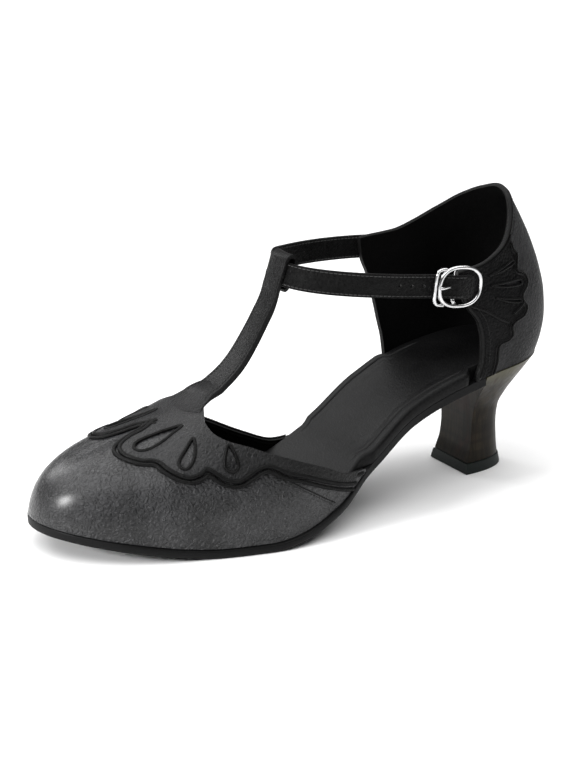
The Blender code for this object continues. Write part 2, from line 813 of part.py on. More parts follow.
# tab: folded round the bar, slotted for the pin
wrap = bar_wire / 2 + gap + tab_thick / 2
turn = np.radians([-90, -60, -30, 0, 30, 60, 90])
back = -tab_form[:, 0] * half_length
path = at_buckle(
    np.concatenate([back[::-1], bar_along + wrap * np.cos(turn), back]),
    np.concatenate([[-wrap] * 3, wrap * np.sin(turn), wrap - tab_close * tab_form[:, 1]]) - bar_drop,
)
rings = ribbon(path, np.cross(unit(np.gradient(path, axis=0)), up_way), tab_width, tab_thick)
tab = piece("buckle_tab", *loft(rings), tab_leather)
corners = ((-2, -3), (3, -3), (3, 3), (-2, 3))
slot = [
    [at_buckle(bar_along + wrap * a, wrap * o - bar_drop, up) for a, o in corners]
    for up in (-pin_wire / 2 - gap, pin_wire / 2 + gap)
]
join(tab, (piece("tab_slot", *loft(slot), None),), "DIFFERENCE")

# the shoe stands with the middle of its footprint at the origin
bpy.context.view_layer.update()
graph = bpy.context.evaluated_depsgraph_get()
low, high = np.full(3, 9.0), np.full(3, -9.0)
for made in bpy.data.objects:
    if not made.hide_render:
        mesh = made.evaluated_get(graph).to_mesh()
        points = np.array([v.co for v in mesh.vertices])
        low, high = np.minimum(low, points.min(0)), np.maximum(high, points.max(0))
for made in bpy.data.objects:
    made.location = (-(low[0] + high[0]) / 2, -(low[1] + high[1]) / 2, -low[2])
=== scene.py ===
from math import pi, radians, sin, tau

import bmesh
import bpy
import numpy as np
from mathutils import Matrix, Vector
from mathutils.bvhtree import BVHTree
from mathutils.geometry import delaunay_2d_cdt


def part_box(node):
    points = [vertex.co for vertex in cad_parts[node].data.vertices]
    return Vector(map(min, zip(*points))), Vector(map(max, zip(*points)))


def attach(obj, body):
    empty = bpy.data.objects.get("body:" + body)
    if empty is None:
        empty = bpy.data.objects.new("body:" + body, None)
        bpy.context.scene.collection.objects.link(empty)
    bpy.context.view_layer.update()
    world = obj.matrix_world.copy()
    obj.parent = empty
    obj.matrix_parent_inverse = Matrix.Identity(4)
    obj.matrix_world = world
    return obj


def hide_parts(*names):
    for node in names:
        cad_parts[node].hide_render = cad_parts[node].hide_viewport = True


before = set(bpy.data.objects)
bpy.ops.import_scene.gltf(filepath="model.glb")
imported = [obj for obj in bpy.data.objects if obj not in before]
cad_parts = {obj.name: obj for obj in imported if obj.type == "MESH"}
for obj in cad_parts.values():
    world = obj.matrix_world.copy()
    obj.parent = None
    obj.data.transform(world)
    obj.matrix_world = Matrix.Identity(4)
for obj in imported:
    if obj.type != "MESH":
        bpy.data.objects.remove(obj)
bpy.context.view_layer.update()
print("frame loaded:", ", ".join(sorted(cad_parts)))

# the last, in metres: x from the back of the seat to the toe, y toward the outer side, z up
last = {
    "length": 0.240,
    "ballWidth": 0.080,
    "heelRise": 0.050,
    "instep": 0.0568,
    "counter": 0.0735,
    "gap": 0.0003,
    "vampWall": 0.0018,
    "quarterWall": 0.0022,
    "seatLength": 0.0393,
    "outerFront": 0.0450,
    "innerFront": 0.0580,
    "heelCap": (0.115, 2.1),
    "toeCap": (0.20, 2.05),
    "pole": 0.814,
    "ridgeBack": 0.56,
    "wing": 0.444,
    "bulge": 0.0017,
    "toeBulge": 0.0013,
    "throat": 0.60,
    "throatHeight": 0.73,
    "footPull": 0.636,
    "ridgePull": 0.63,
}

# along, centre, half width (shares of ball width)
outline = np.array([
    (0.00, 0.000, 0.290),
    (0.10, -0.008, 0.315),
    (0.22, -0.010, 0.338),
    (0.32, 0.015, 0.320),
    (0.42, 0.070, 0.330),
    (0.52, 0.108, 0.406),
    (0.62, 0.083, 0.482),
    (0.70, 0.025, 0.498),
    (0.78, -0.027, 0.478),
    (0.86, -0.068, 0.445),
    (1.00, -0.108, 0.392),
])
# along, height under the sole (share of heel rise), lip (share of the sole's lip)
underside = np.array([
    (0.00, 0.985, 0.00),
    (0.10, 0.955, 0.00),
    (0.20, 0.875, 0.00),
    (0.32, 0.690, 0.00),
    (0.42, 0.420, 0.00),
    (0.52, 0.162, 1.00),
    (0.60, 0.040, 1.00),
    (0.66, 0.000, 1.00),
    (0.74, 0.000, 1.00),
    (0.80, 0.026, 1.00),
    (0.88, 0.088, 0.90),
    (1.00, 0.190, 0.10),
])
# along, height over the feather line (share of instep)
ridge = np.array([
    (0.45, 1.020),
    (0.56, 1.000),
    (0.66, 0.984),
    (0.74, 0.843),
    (0.82, 0.695),
    (0.90, 0.458),
])
# round the vamp (0 toe, 1 wing end), height of the topline: outer side, inner side
topline = np.array([
    (0.600, 0.730, 0.730),
    (0.627, 0.609, 0.600),
    (0.671, 0.512, 0.500),
    (0.732, 0.438, 0.420),
    (0.786, 0.371, 0.340),
    (0.885, 0.220, 0.170),
    (0.940, 0.110, 0.075),
    (1.000, 0.015, 0.015),
])
# up the counter, forward shift of the back line (shares of counter height)
counterBack = np.array([
    (0.00, 0.000),
    (0.12, -0.033),
    (0.25, -0.049),
    (0.40, -0.038),
    (0.55, 0.000),
    (0.70, 0.055),
    (0.85, 0.130),
    (1.00, 0.218),
])
# up, outer front edge, inner front edge, swell sideways (shares of counter height)
quarterEdge = np.array([
    (0.00, 0.000, 0.000, 0.000),
    (0.18, -0.027, 0.011, 0.014),
    (0.36, -0.020, 0.041, 0.024),
    (0.54, 0.014, 0.075, 0.027),
    (0.70, 0.095, 0.116, 0.022),
    (0.86, 0.143, 0.170, 0.014),
    (1.00, 0.156, 0.184, 0.011),
])
# round the collar (-1 inner front, 0 back, 1 outer front), height (share of counter height)
collarRim = np.array([
    (-1.00, 0.690),
    (-0.80, 0.705),
    (-0.65, 0.755),
    (-0.50, 0.826),
    (-0.35, 0.903),
    (-0.18, 0.965),
    (0.00, 1.000),
    (0.10, 0.988),
    (0.20, 0.955),
    (0.35, 0.845),
    (0.50, 0.745),
    (0.65, 0.686),
    (0.80, 0.640),
    (1.00, 0.620),
])


def smoothTable(table, column, x):
    # monotone cubic through one column of a table
    tableX, tableY = table[:, 0], table[:, column]
    x = np.clip(np.asarray(x, float), tableX[0], tableX[-1])
    step = np.diff(tableX)
    rate = np.diff(tableY) / step
    slope = np.zeros(len(tableX))
    slope[0], slope[-1] = rate[0], rate[-1]
    for i in range(1, len(tableX) - 1):
        if rate[i - 1] * rate[i] > 0:
            one = 2 * step[i] + step[i - 1]
            two = step[i] + 2 * step[i - 1]
            slope[i] = (one + two) / (one / rate[i - 1] + two / rate[i])
    k = np.clip(np.searchsorted(tableX, x, side="right") - 1, 0, len(tableX) - 2)
    t = (x - tableX[k]) / step[k]
    return (
        (2 * t**3 - 3 * t**2 + 1) * tableY[k]
        + (t**3 - 2 * t**2 + t) * step[k] * slope[k]
        + (3 * t**2 - 2 * t**3) * tableY[k + 1]
        + (t**3 - t**2) * step[k] * slope[k + 1]
    )


def ramp(x, low, high):
    t = np.clip((np.asarray(x, float) - low) / (high - low), 0, 1)
    return t * t * (3 - 2 * t)


def unit(v):
    return v / np.linalg.norm(v, axis=-1, keepdims=True)


def centreY(x):
    return smoothTable(outline, 1, x / last["length"]) * last["ballWidth"]


def halfWidth(x):
    s = np.asarray(x, float) / last["length"]
    (heelCap, heelRound), (toeCap, toeRound) = last["heelCap"], last["toeCap"]
    back = np.clip((heelCap - s) / heelCap, 0, 1)
    front = np.clip((s - 1 + toeCap) / toeCap, 0, 1)
    ends = (1 - back**heelRound) ** (1 / heelRound) * (1 - front**toeRound) ** (1 / toeRound)
    return smoothTable(outline, 2, s) * last["ballWidth"] * ends


def undersideZ(x):
    return smoothTable(underside, 1, x / last["length"]) * last["heelRise"]


def featherZ(x):
    return undersideZ(x) + outsoleLook["thick"] + last["gap"]


def ridgeZ(x):
    return featherZ(x) + smoothTable(ridge, 1, x / last["length"]) * last["instep"]


def planEdge(x, side, out):
    # a point of the plan outline, moved outward by out
    e = 2e-5
    x = np.clip(np.asarray(x, float), e, last["length"] - e)
    slope = (halfWidth(x + e) - halfWidth(x - e)) / (2 * e)
    size = np.sqrt(1 + slope**2)
    return x - slope / size * out, centreY(x) + side * (halfWidth(x) + out / size)


def vampPoint(a, h):
    # a: -1 inner wing, 0 toe, 1 outer wing; h: 0 feather line, 1 ridge
    a, h = np.broadcast_arrays(np.asarray(a, float), np.asarray(h, float))
    s = np.abs(a)
    side = np.where(a < 0, -1.0, 1.0)
    length = last["length"]
    x0 = length - (length - last["wing"] * length) * (1 - np.cos(pi / 2 * s))
    foot = np.stack([x0, centreY(x0) + side * halfWidth(x0), featherZ(x0)], -1)
    pole = last["pole"] * length
    x3 = pole - (pole - last["ridgeBack"] * length) * s**1.5
    top = np.stack([x3, centreY(x3), ridgeZ(x3)], -1)
    e = 1e-4
    slope = (ridgeZ(x3 + e) - ridgeZ(x3 - e)) / (2 * e)
    way = foot - top
    bulge = last["bulge"] + last["toeBulge"] * (1 - s) ** 2
    lean = -bulge / np.hypot(way[..., 0], way[..., 1])
    p1 = foot + np.stack([way[..., 0] * lean, way[..., 1] * lean, -way[..., 2] * last["footPull"]], -1)
    p2 = top + last["ridgePull"] * np.stack([way[..., 0], way[..., 1], way[..., 0] * slope], -1)
    t = h[..., None]
    return (1 - t) ** 3 * foot + 3 * (1 - t) ** 2 * t * p1 + 3 * (1 - t) * t**2 * p2 + t**3 * top


def quarterPoint(b, h):
    # b: -1 inner front edge, 0 back, 1 outer front edge; h: 0 seat line, 1 collar
    b, h = np.broadcast_arrays(np.asarray(b, float), np.asarray(h, float))
    s = np.abs(b)
    outer = b >= 0
    side = np.where(outer, 1.0, -1.0)
    u = 1 - np.cos(pi / 2 * s)
    height = last["counter"]
    front = np.where(outer, last["outerFront"], last["innerFront"])
    shiftOut, shiftIn = smoothTable(quarterEdge, 1, h), smoothTable(quarterEdge, 2, h)
    forward = height * np.where(outer, shiftOut, shiftIn)
    swell = height * smoothTable(quarterEdge, 3, h)
    back = smoothTable(counterBack, 1, h) * height
    base = u * front
    x = back + u * (front + forward - back)
    y = centreY(base) + side * (halfWidth(base) + swell * np.minimum(1, s * 3))
    low = featherZ(base)
    high = featherZ(0.0) + smoothTable(collarRim, 1, b) * height
    return np.stack([x, y, low + (high - low) * h], -1)


# colours are linear, lengths in metres
outsoleLook = {"thick": 0.0036, "lip": 0.0014, "stations": 150, "tipIn": 1e-5}
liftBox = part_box("top_lift")
shift = np.array([
    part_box("vamp")[1].x - vampPoint(0.0, np.linspace(0, 0.3, 40))[:, 0].max(),
    (liftBox[0].y + liftBox[1].y) / 2 - float(centreY(last["seatLength"])),
    0.0,
])
print("last is placed at", shift.round(5))

# mesh tools: all of them work in the last's own frame, and makePiece moves the result into place


def makePiece(name, points, faces, looks, node=None, slot=None, faceLook=None, sharp=40):
    mesh = bpy.data.meshes.new(name)
    points = np.asarray(points, float) + shift
    mesh.from_pydata(points.tolist(), [], [tuple(int(i) for i in f) for f in faces])
    for look in looks:
        mesh.materials.append(look)
    if faceLook is not None:
        mesh.polygons.foreach_set("material_index", np.asarray(faceLook, np.int32))
    work = bmesh.new()
    work.from_mesh(mesh)
    bmesh.ops.remove_doubles(work, verts=work.verts, dist=2e-6)
    bmesh.ops.dissolve_degenerate(work, edges=work.edges, dist=1e-7)
    bmesh.ops.recalc_face_normals(work, faces=work.faces)
    for face in work.faces:
        face.smooth = True
    for edge in work.edges:
        edge.smooth = len(edge.link_faces) == 2 and edge.calc_face_angle(0) < radians(sharp)
    work.to_mesh(mesh)
    work.free()
    piece = bpy.data.objects.new(name, mesh)
    bpy.context.scene.collection.objects.link(piece)
    if node:
        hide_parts(node)
    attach(piece, "root")
    return piece


def bevelEdges(piece, width):
    bevel = piece.modifiers.new("softEdge", "BEVEL")
    bevel.width = width
    bevel.segments = 2
    bevel.limit_method = "ANGLE"
    bevel.angle_limit = radians(50)


def vertexNormals(points, faces):
    # quads or triangles, given as one array of indices
    faces = np.asarray(faces)
    a, b, c = points[faces[:, 0]], points[faces[:, 1]], points[faces[:, 2]]
    area = np.cross(b - a, c - a)
    if faces.shape[1] == 4:
        area = area + np.cross(c - a, points[faces[:, 3]] - a)
    out = np.zeros_like(points)
    for k in range(faces.shape[1]):
        np.add.at(out, faces[:, k], area)
    size = np.linalg.norm(out, axis=1, keepdims=True)
    return out / np.maximum(size, 1e-12)


def gridFaces(rows, columns, start=0, flip=False):
    i, j = np.meshgrid(np.arange(rows - 1), np.arange(columns - 1), indexing="ij")
    base = (start + i * columns + j).ravel()
    quads = np.stack([base, base + columns, base + columns + 1, base + 1], -1)
    return quads[:, ::-1] if flip else quads


def mergePoints(points, faces):
    # joins coinciding points, so that normals run on across grids
    keys = np.round(points / 1e-6).astype(np.int64)
    first, inverse = np.unique(keys, axis=0, return_index=True, return_inverse=True)[1:]
    return points[first], inverse.reshape(-1)[np.asarray(faces)]


def openEdges(faces):
    # edges that belong to one face only, in the order that they are met
    n = faces.shape[1]
    edges = {}
    for k in range(n):
        for p, q in zip(faces[:, k].tolist(), faces[:, (k + 1) % n].tolist()):
            if p != q:
                edges[(p, q)] = True
    return [(p, q) for p, q in edges if (q, p) not in edges]


def shellPiece(name, points, faces, wall, looks, node, slot):
    # looks: outside, lining, cut edge
    points, faces = mergePoints(points, faces)
    normals = vertexNormals(points, faces)
    inner = points - normals * wall
    count = len(points)
    rim = [(q, p, count + p, count + q) for p, q in openEdges(faces)]
    every = [tuple(dict.fromkeys(f.tolist())) for f in faces]
    keep = [f for f in every if len(f) > 2]
    inside = [tuple(count + i for i in reversed(f)) for f in keep]
    faceLook = [0] * len(keep) + [1] * len(inside) + [2] * len(rim)
    return makePiece(
        name, np.concatenate([points, inner]), keep + inside + rim, looks, node, slot, faceLook
    )


def curveThrough(points, step, closed=False):
    # Catmull-Rom curve through the points, then even steps along it
    points = np.asarray(points, float)
    if closed:
        padded = np.concatenate([points[-1:], points, points[:2]])
    else:
        first, final = 2 * points[0] - points[1], 2 * points[-1] - points[-2]
        padded = np.concatenate([[first], points, [final]])
    t = np.linspace(0, 1, 24, endpoint=False)[:, None]
    dense = []
    for i in range(len(padded) - 3):
        p0, p1, p2, p3 = padded[i:i + 4]
        dense.append(
            0.5 * (2 * p1 + (p2 - p0) * t + (2 * p0 - 5 * p1 + 4 * p2 - p3) * t**2
                   + (3 * p1 - p0 - 3 * p2 + p3) * t**3)
        )
    dense.append(padded[-2:-1])
    return evenSteps(np.concatenate(dense), step, closed)


def evenSteps(path, step, closed=False):
    run = np.concatenate([[0], np.cumsum(np.linalg.norm(np.diff(path, axis=0), axis=1))])
    count = max(int(round(run[-1] / step)), 3)
    places = np.linspace(0, run[-1], count + 1)
    if closed:
        places = places[:-1]
    return np.stack([np.interp(places, run, path[:, k]) for k in range(path.shape[1])], -1)


def tubeMesh(path, radius, normals=None, sides=10, closed=False, squash=1.0):
    # round (or flattened) tube along a path; open ends are rounded
    path = np.asarray(path, float)
    if closed:
        way = unit(np.roll(path, -1, 0) - np.roll(path, 1, 0))
    else:
        way = unit(np.gradient(path, axis=0))
    if normals is None:
        normals = np.linalg.svd(path - path.mean(0))[2][2]
    side = unit(np.cross(way, normals))
    up = np.cross(side, way)
    radius = np.broadcast_to(np.asarray(radius, float), (len(path),))
    if not closed:
        r0, r1 = radius[0], radius[-1]
        ends = ((0.30, 0.95), (0.75, 0.66), (0.95, 0.3))
        path = np.concatenate([
            [path[0] - way[0] * r0 * back for size, back in ends], path,
            [path[-1] + way[-1] * r1 * back for size, back in reversed(ends)],
        ])
        sizes = [size for size, back in ends]
        radius = np.concatenate([[r0 * s for s in sizes], radius, [r1 * s for s in reversed(sizes)]])
        side = np.concatenate([side[:1]] * 3 + [side] + [side[-1:]] * 3)
        up = np.concatenate([up[:1]] * 3 + [up] + [up[-1:]] * 3)
    turn = np.arange(sides) * tau / sides
    ring = (
        np.cos(turn)[None, :, None] * side[:, None]
        + np.sin(turn)[None, :, None] * up[:, None] * squash
    )
    points = (path[:, None] + radius[:, None, None] * ring).reshape(-1, 3)
    count = len(path)
    if not closed:
        return points, ringFaces(count, sides) + endFaces(count, sides)
    faces = ringFaces(count + 1, sides)
    return points, [tuple(i % len(points) for i in face) for face in faces]


def ringFaces(count, n):
    # quads between rings of n points
    return [
        (i * n + j, i * n + (j + 1) % n, (i + 1) * n + (j + 1) % n, (i + 1) * n + j)
        for i in range(count - 1) for j in range(n)
    ]


def endFaces(count, n):
    # the two flat ends of a row of rings
    return [tuple(range(n)), tuple((count - 1) * n + j for j in range(n))]


def joinMeshes(parts):
    points, faces, start = [], [], 0
    for p, f in parts:
        points.append(p)
        faces += [tuple(start + i for i in face) for face in f]
        start += len(p)
    return np.concatenate(points), faces


def makeJoined(name, parts, look, node, slot):
    points, faces = joinMeshes(parts)
    return makePiece(name, points, faces, [look], node, slot)


def stitchRun(path, normals, stitch):
    # a row of single stitches, each a short thread that dips into the leather at both ends
    run = np.concatenate([[0], np.cumsum(np.linalg.norm(np.diff(path, axis=0), axis=1))])
    pitch = stitch["length"] + stitch["space"]
    count = int(run[-1] // pitch)
    start = (run[-1] - count * pitch + stitch["space"]) / 2
    parts = []
    for i in range(count):
        places = start + i * pitch + np.linspace(0, stitch["length"], 5)
        points = np.stack([np.interp(places, run, path[:, k]) for k in range(3)], -1)
        ups = unit(np.stack([np.interp(places, run, normals[:, k]) for k in range(3)], -1))
        lift = np.array([-0.4, 0.45, 0.7, 0.45, -0.4])[:, None] * stitch["thread"]
        parts.append(tubeMesh(points + ups * lift, stitch["thread"], ups, sides=6))
    return joinMeshes(parts)


def insideLoop(loop, points):
    # even-odd test of many points against one closed loop
    x, y = points[:, 0:1], points[:, 1:2]
    ax, ay = loop[:, 0], loop[:, 1]
    bx, by = np.roll(ax, -1), np.roll(ay, -1)
    crosses = (ay > y) != (by > y)
    with np.errstate(divide="ignore", invalid="ignore"):
        at = ax + (y - ay) / (by - ay) * (bx - ax)
    return (crosses & (x < at)).sum(1) % 2 == 1


def cutSheet(outer, holes, spacing, inset=0.45):
    # a flat sheet with holes, as triangles on a plane in millimetres
    low, high = outer.min(0), outer.max(0)
    rowStep = spacing * 0.866  # rows of even triangles
    gx, gy = np.meshgrid(np.arange(low[0], high[0], spacing), np.arange(low[1], high[1], rowStep))
    gx = gx + (np.arange(gx.shape[0])[:, None] % 2) * spacing / 2
    inner = np.stack([gx.ravel(), gy.ravel()], -1)
    inner = inner[insideLoop(outer, inner)]
    for loop in [outer, *holes]:
        near = np.min(np.linalg.norm(inner[:, None] - loop[None], axis=2), axis=1)
        inner = inner[near > spacing * inset]
    for loop in holes:
        inner = inner[~insideLoop(loop, inner)]
    places = np.concatenate([outer, *holes, inner])
    loops, start = [], 0
    for loop in [outer, *holes]:
        loops.append(list(range(start, start + len(loop))))
        start += len(loop)
    edges = [(loop[i], loop[(i + 1) % len(loop)]) for loop in loops for i in range(len(loop))]
    made = delaunay_2d_cdt([Vector(p) for p in places.tolist()], edges, [], 0, 1e-7)
    points = np.array([tuple(v) for v in made[0]])
    faces = np.array([f for f in made[2] if len(f) == 3])
    middle = points[faces].mean(1)
    keep = insideLoop(outer, middle)
    for loop in holes:
        keep &= ~insideLoop(loop, middle)
    return points, faces[keep]


def drapeSheet(name, outer, holes, sheet, onSurface, look, slot):
    # a leather overlay of its own thickness, laid on a surface and sunk a little into it
    flat, faces = cutSheet(outer, holes, sheet["spacing"])
    used, inverse = np.unique(faces, return_inverse=True)
    flat, faces = flat[used], inverse.reshape(faces.shape)
    base, ups = onSurface(flat)
    smooth = vertexNormals(base, faces)
    flipped = (smooth * ups).sum(1) < 0
    smooth[flipped] *= -1
    count = len(base)
    rim = [(p, q, count + q, count + p) for p, q in openEdges(faces)]
    every = [tuple(f) for f in faces.tolist()]
    every += [tuple(count + i for i in reversed(f)) for f in faces.tolist()] + rim
    points = np.concatenate([base + smooth * sheet["thick"], base - smooth * sheet["under"]])
    return makePiece(name, points, every, [look], None, slot)


# materials


class Look:
    # a Principled material and short calls for the nodes that feed it
    def __init__(self, name, roughness=0.5, metallic=0.0, coat=0.0, coatRough=0.2, specular=0.3):
        self.material = bpy.data.materials.new(name)
        self.material.use_nodes = True
        self.nodes = self.material.node_tree.nodes
        self.links = self.material.node_tree.links
        self.shader = self.nodes["Principled BSDF"]
        self.shader.inputs["Roughness"].default_value = roughness
        self.shader.inputs["Metallic"].default_value = metallic
        self.shader.inputs["Coat Weight"].default_value = coat
        self.shader.inputs["Coat Roughness"].default_value = coatRough
        self.shader.inputs["Specular IOR Level"].default_value = specular
        self.place = self.nodes.new("ShaderNodeTexCoord").outputs["Object"]
        self.lastBump = None

    def mapped(self, scale):
        node = self.nodes.new("ShaderNodeMapping")
        node.inputs["Scale"].default_value = scale
        self.links.new(self.place, node.inputs["Vector"])
        return node.outputs["Vector"]

    def axis(self, letter):
        # one coordinate of the piece's own space
        node = self.nodes.new("ShaderNodeSeparateXYZ")
        self.links.new(self.place, node.inputs["Vector"])
        return node.outputs[letter]

    def noise(self, scale, detail=3.0, rough=0.55, distortion=0.0, vector=None):
        node = self.nodes.new("ShaderNodeTexNoise")
        node.inputs["Scale"].default_value = scale
        node.inputs["Detail"].default_value = detail
        node.inputs["Roughness"].default_value = rough
        node.inputs["Distortion"].default_value = distortion
        self.links.new(vector or self.place, node.inputs["Vector"])
        return node.outputs["Fac"]

    def cells(self, scale, feature, vector=None):
        node = self.nodes.new("ShaderNodeTexVoronoi")
        node.feature = feature
        node.inputs["Scale"].default_value = scale
        self.links.new(vector or self.place, node.inputs["Vector"])
        return node.outputs["Distance"]

    def crinkle(self, scale):
        # folds between cells, bent by a noise so that no cell looks regular
        warp = self.nodes.new("ShaderNodeTexNoise")
        warp.inputs["Scale"].default_value = scale * 0.6
        warp.inputs["Detail"].default_value = 3.0
        self.links.new(self.place, warp.inputs["Vector"])
        bend = self.nodes.new("ShaderNodeVectorMath")
        bend.operation = "MULTIPLY_ADD"
        bend.inputs[1].default_value = (1.6 / scale,) * 3
        self.links.new(warp.outputs["Color"], bend.inputs[0])
        self.links.new(self.place, bend.inputs[2])
        fold = self.cells(scale, "DISTANCE_TO_EDGE", bend.outputs["Vector"])
        return self.spread(fold, 0.0, 0.32)

    def spread(self, value, low, high, to=(0.0, 1.0)):
        node = self.nodes.new("ShaderNodeMapRange")
        node.interpolation_type = "SMOOTHSTEP"
        node.inputs["From Min"].default_value = low
        node.inputs["From Max"].default_value = high
        node.inputs["To Min"].default_value = to[0]
        node.inputs["To Max"].default_value = to[1]
        self.links.new(value, node.inputs["Value"])
        return node.outputs["Result"]

    def sum(self, one, two, operation="ADD"):
        node = self.nodes.new("ShaderNodeMath")
        node.operation = operation
        for socket, value in zip(node.inputs, (one, two)):
            if isinstance(value, (int, float)):
                socket.default_value = value
            else:
                self.links.new(value, socket)
        return node.outputs["Value"]

    def mix(self, factor, one, two):
        node = self.nodes.new("ShaderNodeMix")
        node.data_type = "RGBA"
        self.links.new(factor, node.inputs["Factor"])
        for socket, value in ((node.inputs["A"], one), (node.inputs["B"], two)):
            if isinstance(value, tuple):
                socket.default_value = (*value, 1)
            else:
                self.links.new(value, socket)
        return node.outputs["Result"]

    def bump(self, height, strength, distance):
        node = self.nodes.new("ShaderNodeBump")
        node.inputs["Strength"].default_value = strength
        node.inputs["Distance"].default_value = distance
        self.links.new(height, node.inputs["Height"])
        if self.lastBump:
            self.links.new(self.lastBump, node.inputs["Normal"])
        self.lastBump = node.outputs["Normal"]
        self.links.new(self.lastBump, self.shader.inputs["Normal"])

    def colour(self, output):
        self.links.new(output, self.shader.inputs["Base Color"])

    def rough(self, output):
        self.links.new(output, self.shader.inputs["Roughness"])


def leather(name, look):
    # pebbled grain with fine pores, soft creases, an uneven dye and, for some looks, painted shade that
    # darkens toward the back
    made = Look(name, coat=look.get("coat", 0.0), coatRough=look.get("coatRough", 0.3),
                specular=look.get("specular", 0.12))
    pebble = made.cells(look["grain"], "SMOOTH_F1")
    pores = made.noise(look["grain"] * 2.6, 3, 0.6)
    crease = made.noise(look["crease"], 5, 0.62, 1.2)
    if "crinkle" in look:
        made.bump(made.crinkle(look["crinkle"]), look["crinkleDepth"], 0.0009)
    made.bump(crease, look["creaseDepth"], 0.0012)
    made.bump(pebble, look["grainDepth"], 0.0005)
    made.bump(pores, look["grainDepth"] * 0.5, 0.00025)
    dye = made.noise(look.get("dye", 28.0), 4, 0.6)
    tone = made.spread(made.sum(dye, made.sum(pebble, 0.25, "MULTIPLY")), 0.35, 0.85)
    dyed = made.mix(tone, look["dark"], look["light"])
    # painted shade: the colour is mixed toward the deep tone at low X, so the piece is darker toward the
    # back, as if less lit
    if "paintedShade" in look:
        low, high, deep = look["paintedShade"]
        near = made.spread(made.axis("X"), low, high)
        dyed = made.mix(near, deep, dyed)
    made.colour(dyed)
    made.rough(made.spread(made.sum(dye, pores, "MULTIPLY"), 0.1, 0.45, look["roughness"]))
    return made.material


vampLeather = leather("vampLeather", {
    "dark": (0.004, 0.004, 0.0045), "light": (0.034, 0.034, 0.036), "roughness": (0.30, 0.52),
    "grain": 800.0, "grainDepth": 0.7, "crease": 330.0, "creaseDepth": 0.5, "dye": 42.0,
    "crinkle": 480.0, "crinkleDepth": 0.8, "coat": 0.45, "coatRough": 0.27, "specular": 0.26,
})
overlayLeather = leather("overlayLeather", {
    "dark": (0.006, 0.006, 0.0065), "light": (0.024, 0.024, 0.025), "roughness": (0.34, 0.52),
    "grain": 900.0, "grainDepth": 0.5, "crease": 360.0, "creaseDepth": 0.4,
    "crinkle": 560.0, "crinkleDepth": 0.4, "coat": 0.15, "coatRough": 0.36, "specular": 0.2,
    # painted shade: the overlay darkens toward the back, lighter forward where its top is lit
    "paintedShade": (0.020, 0.062, (0.003, 0.003, 0.003)),
})
cordLeather = leather("cordLeather", {
    "dark": (0.0015, 0.0015, 0.0015), "light": (0.005, 0.005, 0.005), "roughness": (0.34, 0.50),
    "grain": 1500.0, "grainDepth": 0.35, "crease": 500.0, "creaseDepth": 0.3,
})
quarterLeather = leather("quarterLeather", {
    "dark": (0.007, 0.007, 0.0075), "light": (0.030, 0.030, 0.031), "roughness": (0.42, 0.60),
    "grain": 900.0, "grainDepth": 0.35, "crease": 260.0, "creaseDepth": 0.3, "dye": 48.0,
    "crinkle": 480.0, "crinkleDepth": 0.22,
})
centreLeather = leather("centreLeather", {
    "dark": (0.006, 0.006, 0.0065), "light": (0.0125, 0.0125, 0.013), "roughness": (0.34, 0.52),
    "grain": 900.0, "grainDepth": 0.5, "crease": 360.0, "creaseDepth": 0.4,
    "crinkle": 560.0, "crinkleDepth": 0.4, "coat": 0.12, "coatRough": 0.30, "specular": 0.12,
    # painted shade: the strap darkens toward the back, lighter forward where its top is lit
    "paintedShade": (0.038, 0.058, (0.0028, 0.0028, 0.0029)),
})
strapLeather = leather("strapLeather", {
    "dark": (0.0012, 0.0012, 0.0012), "light": (0.005, 0.005, 0.005), "roughness": (0.30, 0.50),
    "grain": 760.0, "grainDepth": 1.0, "crease": 520.0, "creaseDepth": 0.8, "specular": 0.10,
})
bindingLeather = leather("bindingLeather", {
    "dark": (0.0022, 0.0022, 0.0022), "light": (0.006, 0.006, 0.006), "roughness": (0.34, 0.48),
    "grain": 1400.0, "grainDepth": 0.25, "crease": 260.0, "creaseDepth": 0.2,
})
liningLeather = leather("liningLeather", {
    "dark": (0.0004, 0.0004, 0.0004), "light": (0.001, 0.001, 0.001), "roughness": (0.60, 0.78),
    "grain": 1500.0, "grainDepth": 0.15, "crease": 120.0, "creaseDepth": 0.1, "specular": 0.08,
})
sockLeather = leather("sockLeather", {
    "dark": (0.0022, 0.0022, 0.0023), "light": (0.0040, 0.0040, 0.0042), "roughness": (0.38, 0.52),
    "grain": 1200.0, "grainDepth": 0.2, "crease": 90.0, "creaseDepth": 0.18, "specular": 0.17,
})
fanLeather = leather("fanLeather", {
    "dark": (0.0015, 0.0015, 0.0016), "light": (0.0060, 0.0060, 0.0062), "roughness": (0.38, 0.55),
    "grain": 1000.0, "grainDepth": 0.4, "crease": 300.0, "creaseDepth": 0.3, "specular": 0.06,
    "crinkle": 560.0, "crinkleDepth": 0.3,
})
edgeLeather = leather("edgeLeather", {
    "dark": (0.002, 0.002, 0.002), "light": (0.005, 0.005, 0.005), "roughness": (0.50, 0.65),
    "grain": 2200.0, "grainDepth": 0.2, "crease": 600.0, "creaseDepth": 0.15,
})
soleRubber = leather("soleRubber", {
    "dark": (0.0015, 0.0015, 0.0016), "light": (0.004, 0.004, 0.0042), "roughness": (0.40, 0.58),
    "grain": 2600.0, "grainDepth": 0.12, "crease": 80.0, "creaseDepth": 0.05, "specular": 0.15,
})
threadLook = leather("waxedThread", {
    "dark": (0.035, 0.035, 0.035), "light": (0.085, 0.085, 0.085), "roughness": (0.50, 0.65),
    "grain": 5200.0, "grainDepth": 0.5, "crease": 900.0, "creaseDepth": 0.3,
})
darkThread = leather("darkThread", {
    "dark": (0.010, 0.010, 0.010), "light": (0.024, 0.024, 0.024), "roughness": (0.50, 0.65),
    "grain": 5200.0, "grainDepth": 0.5, "crease": 900.0, "creaseDepth": 0.3,
})
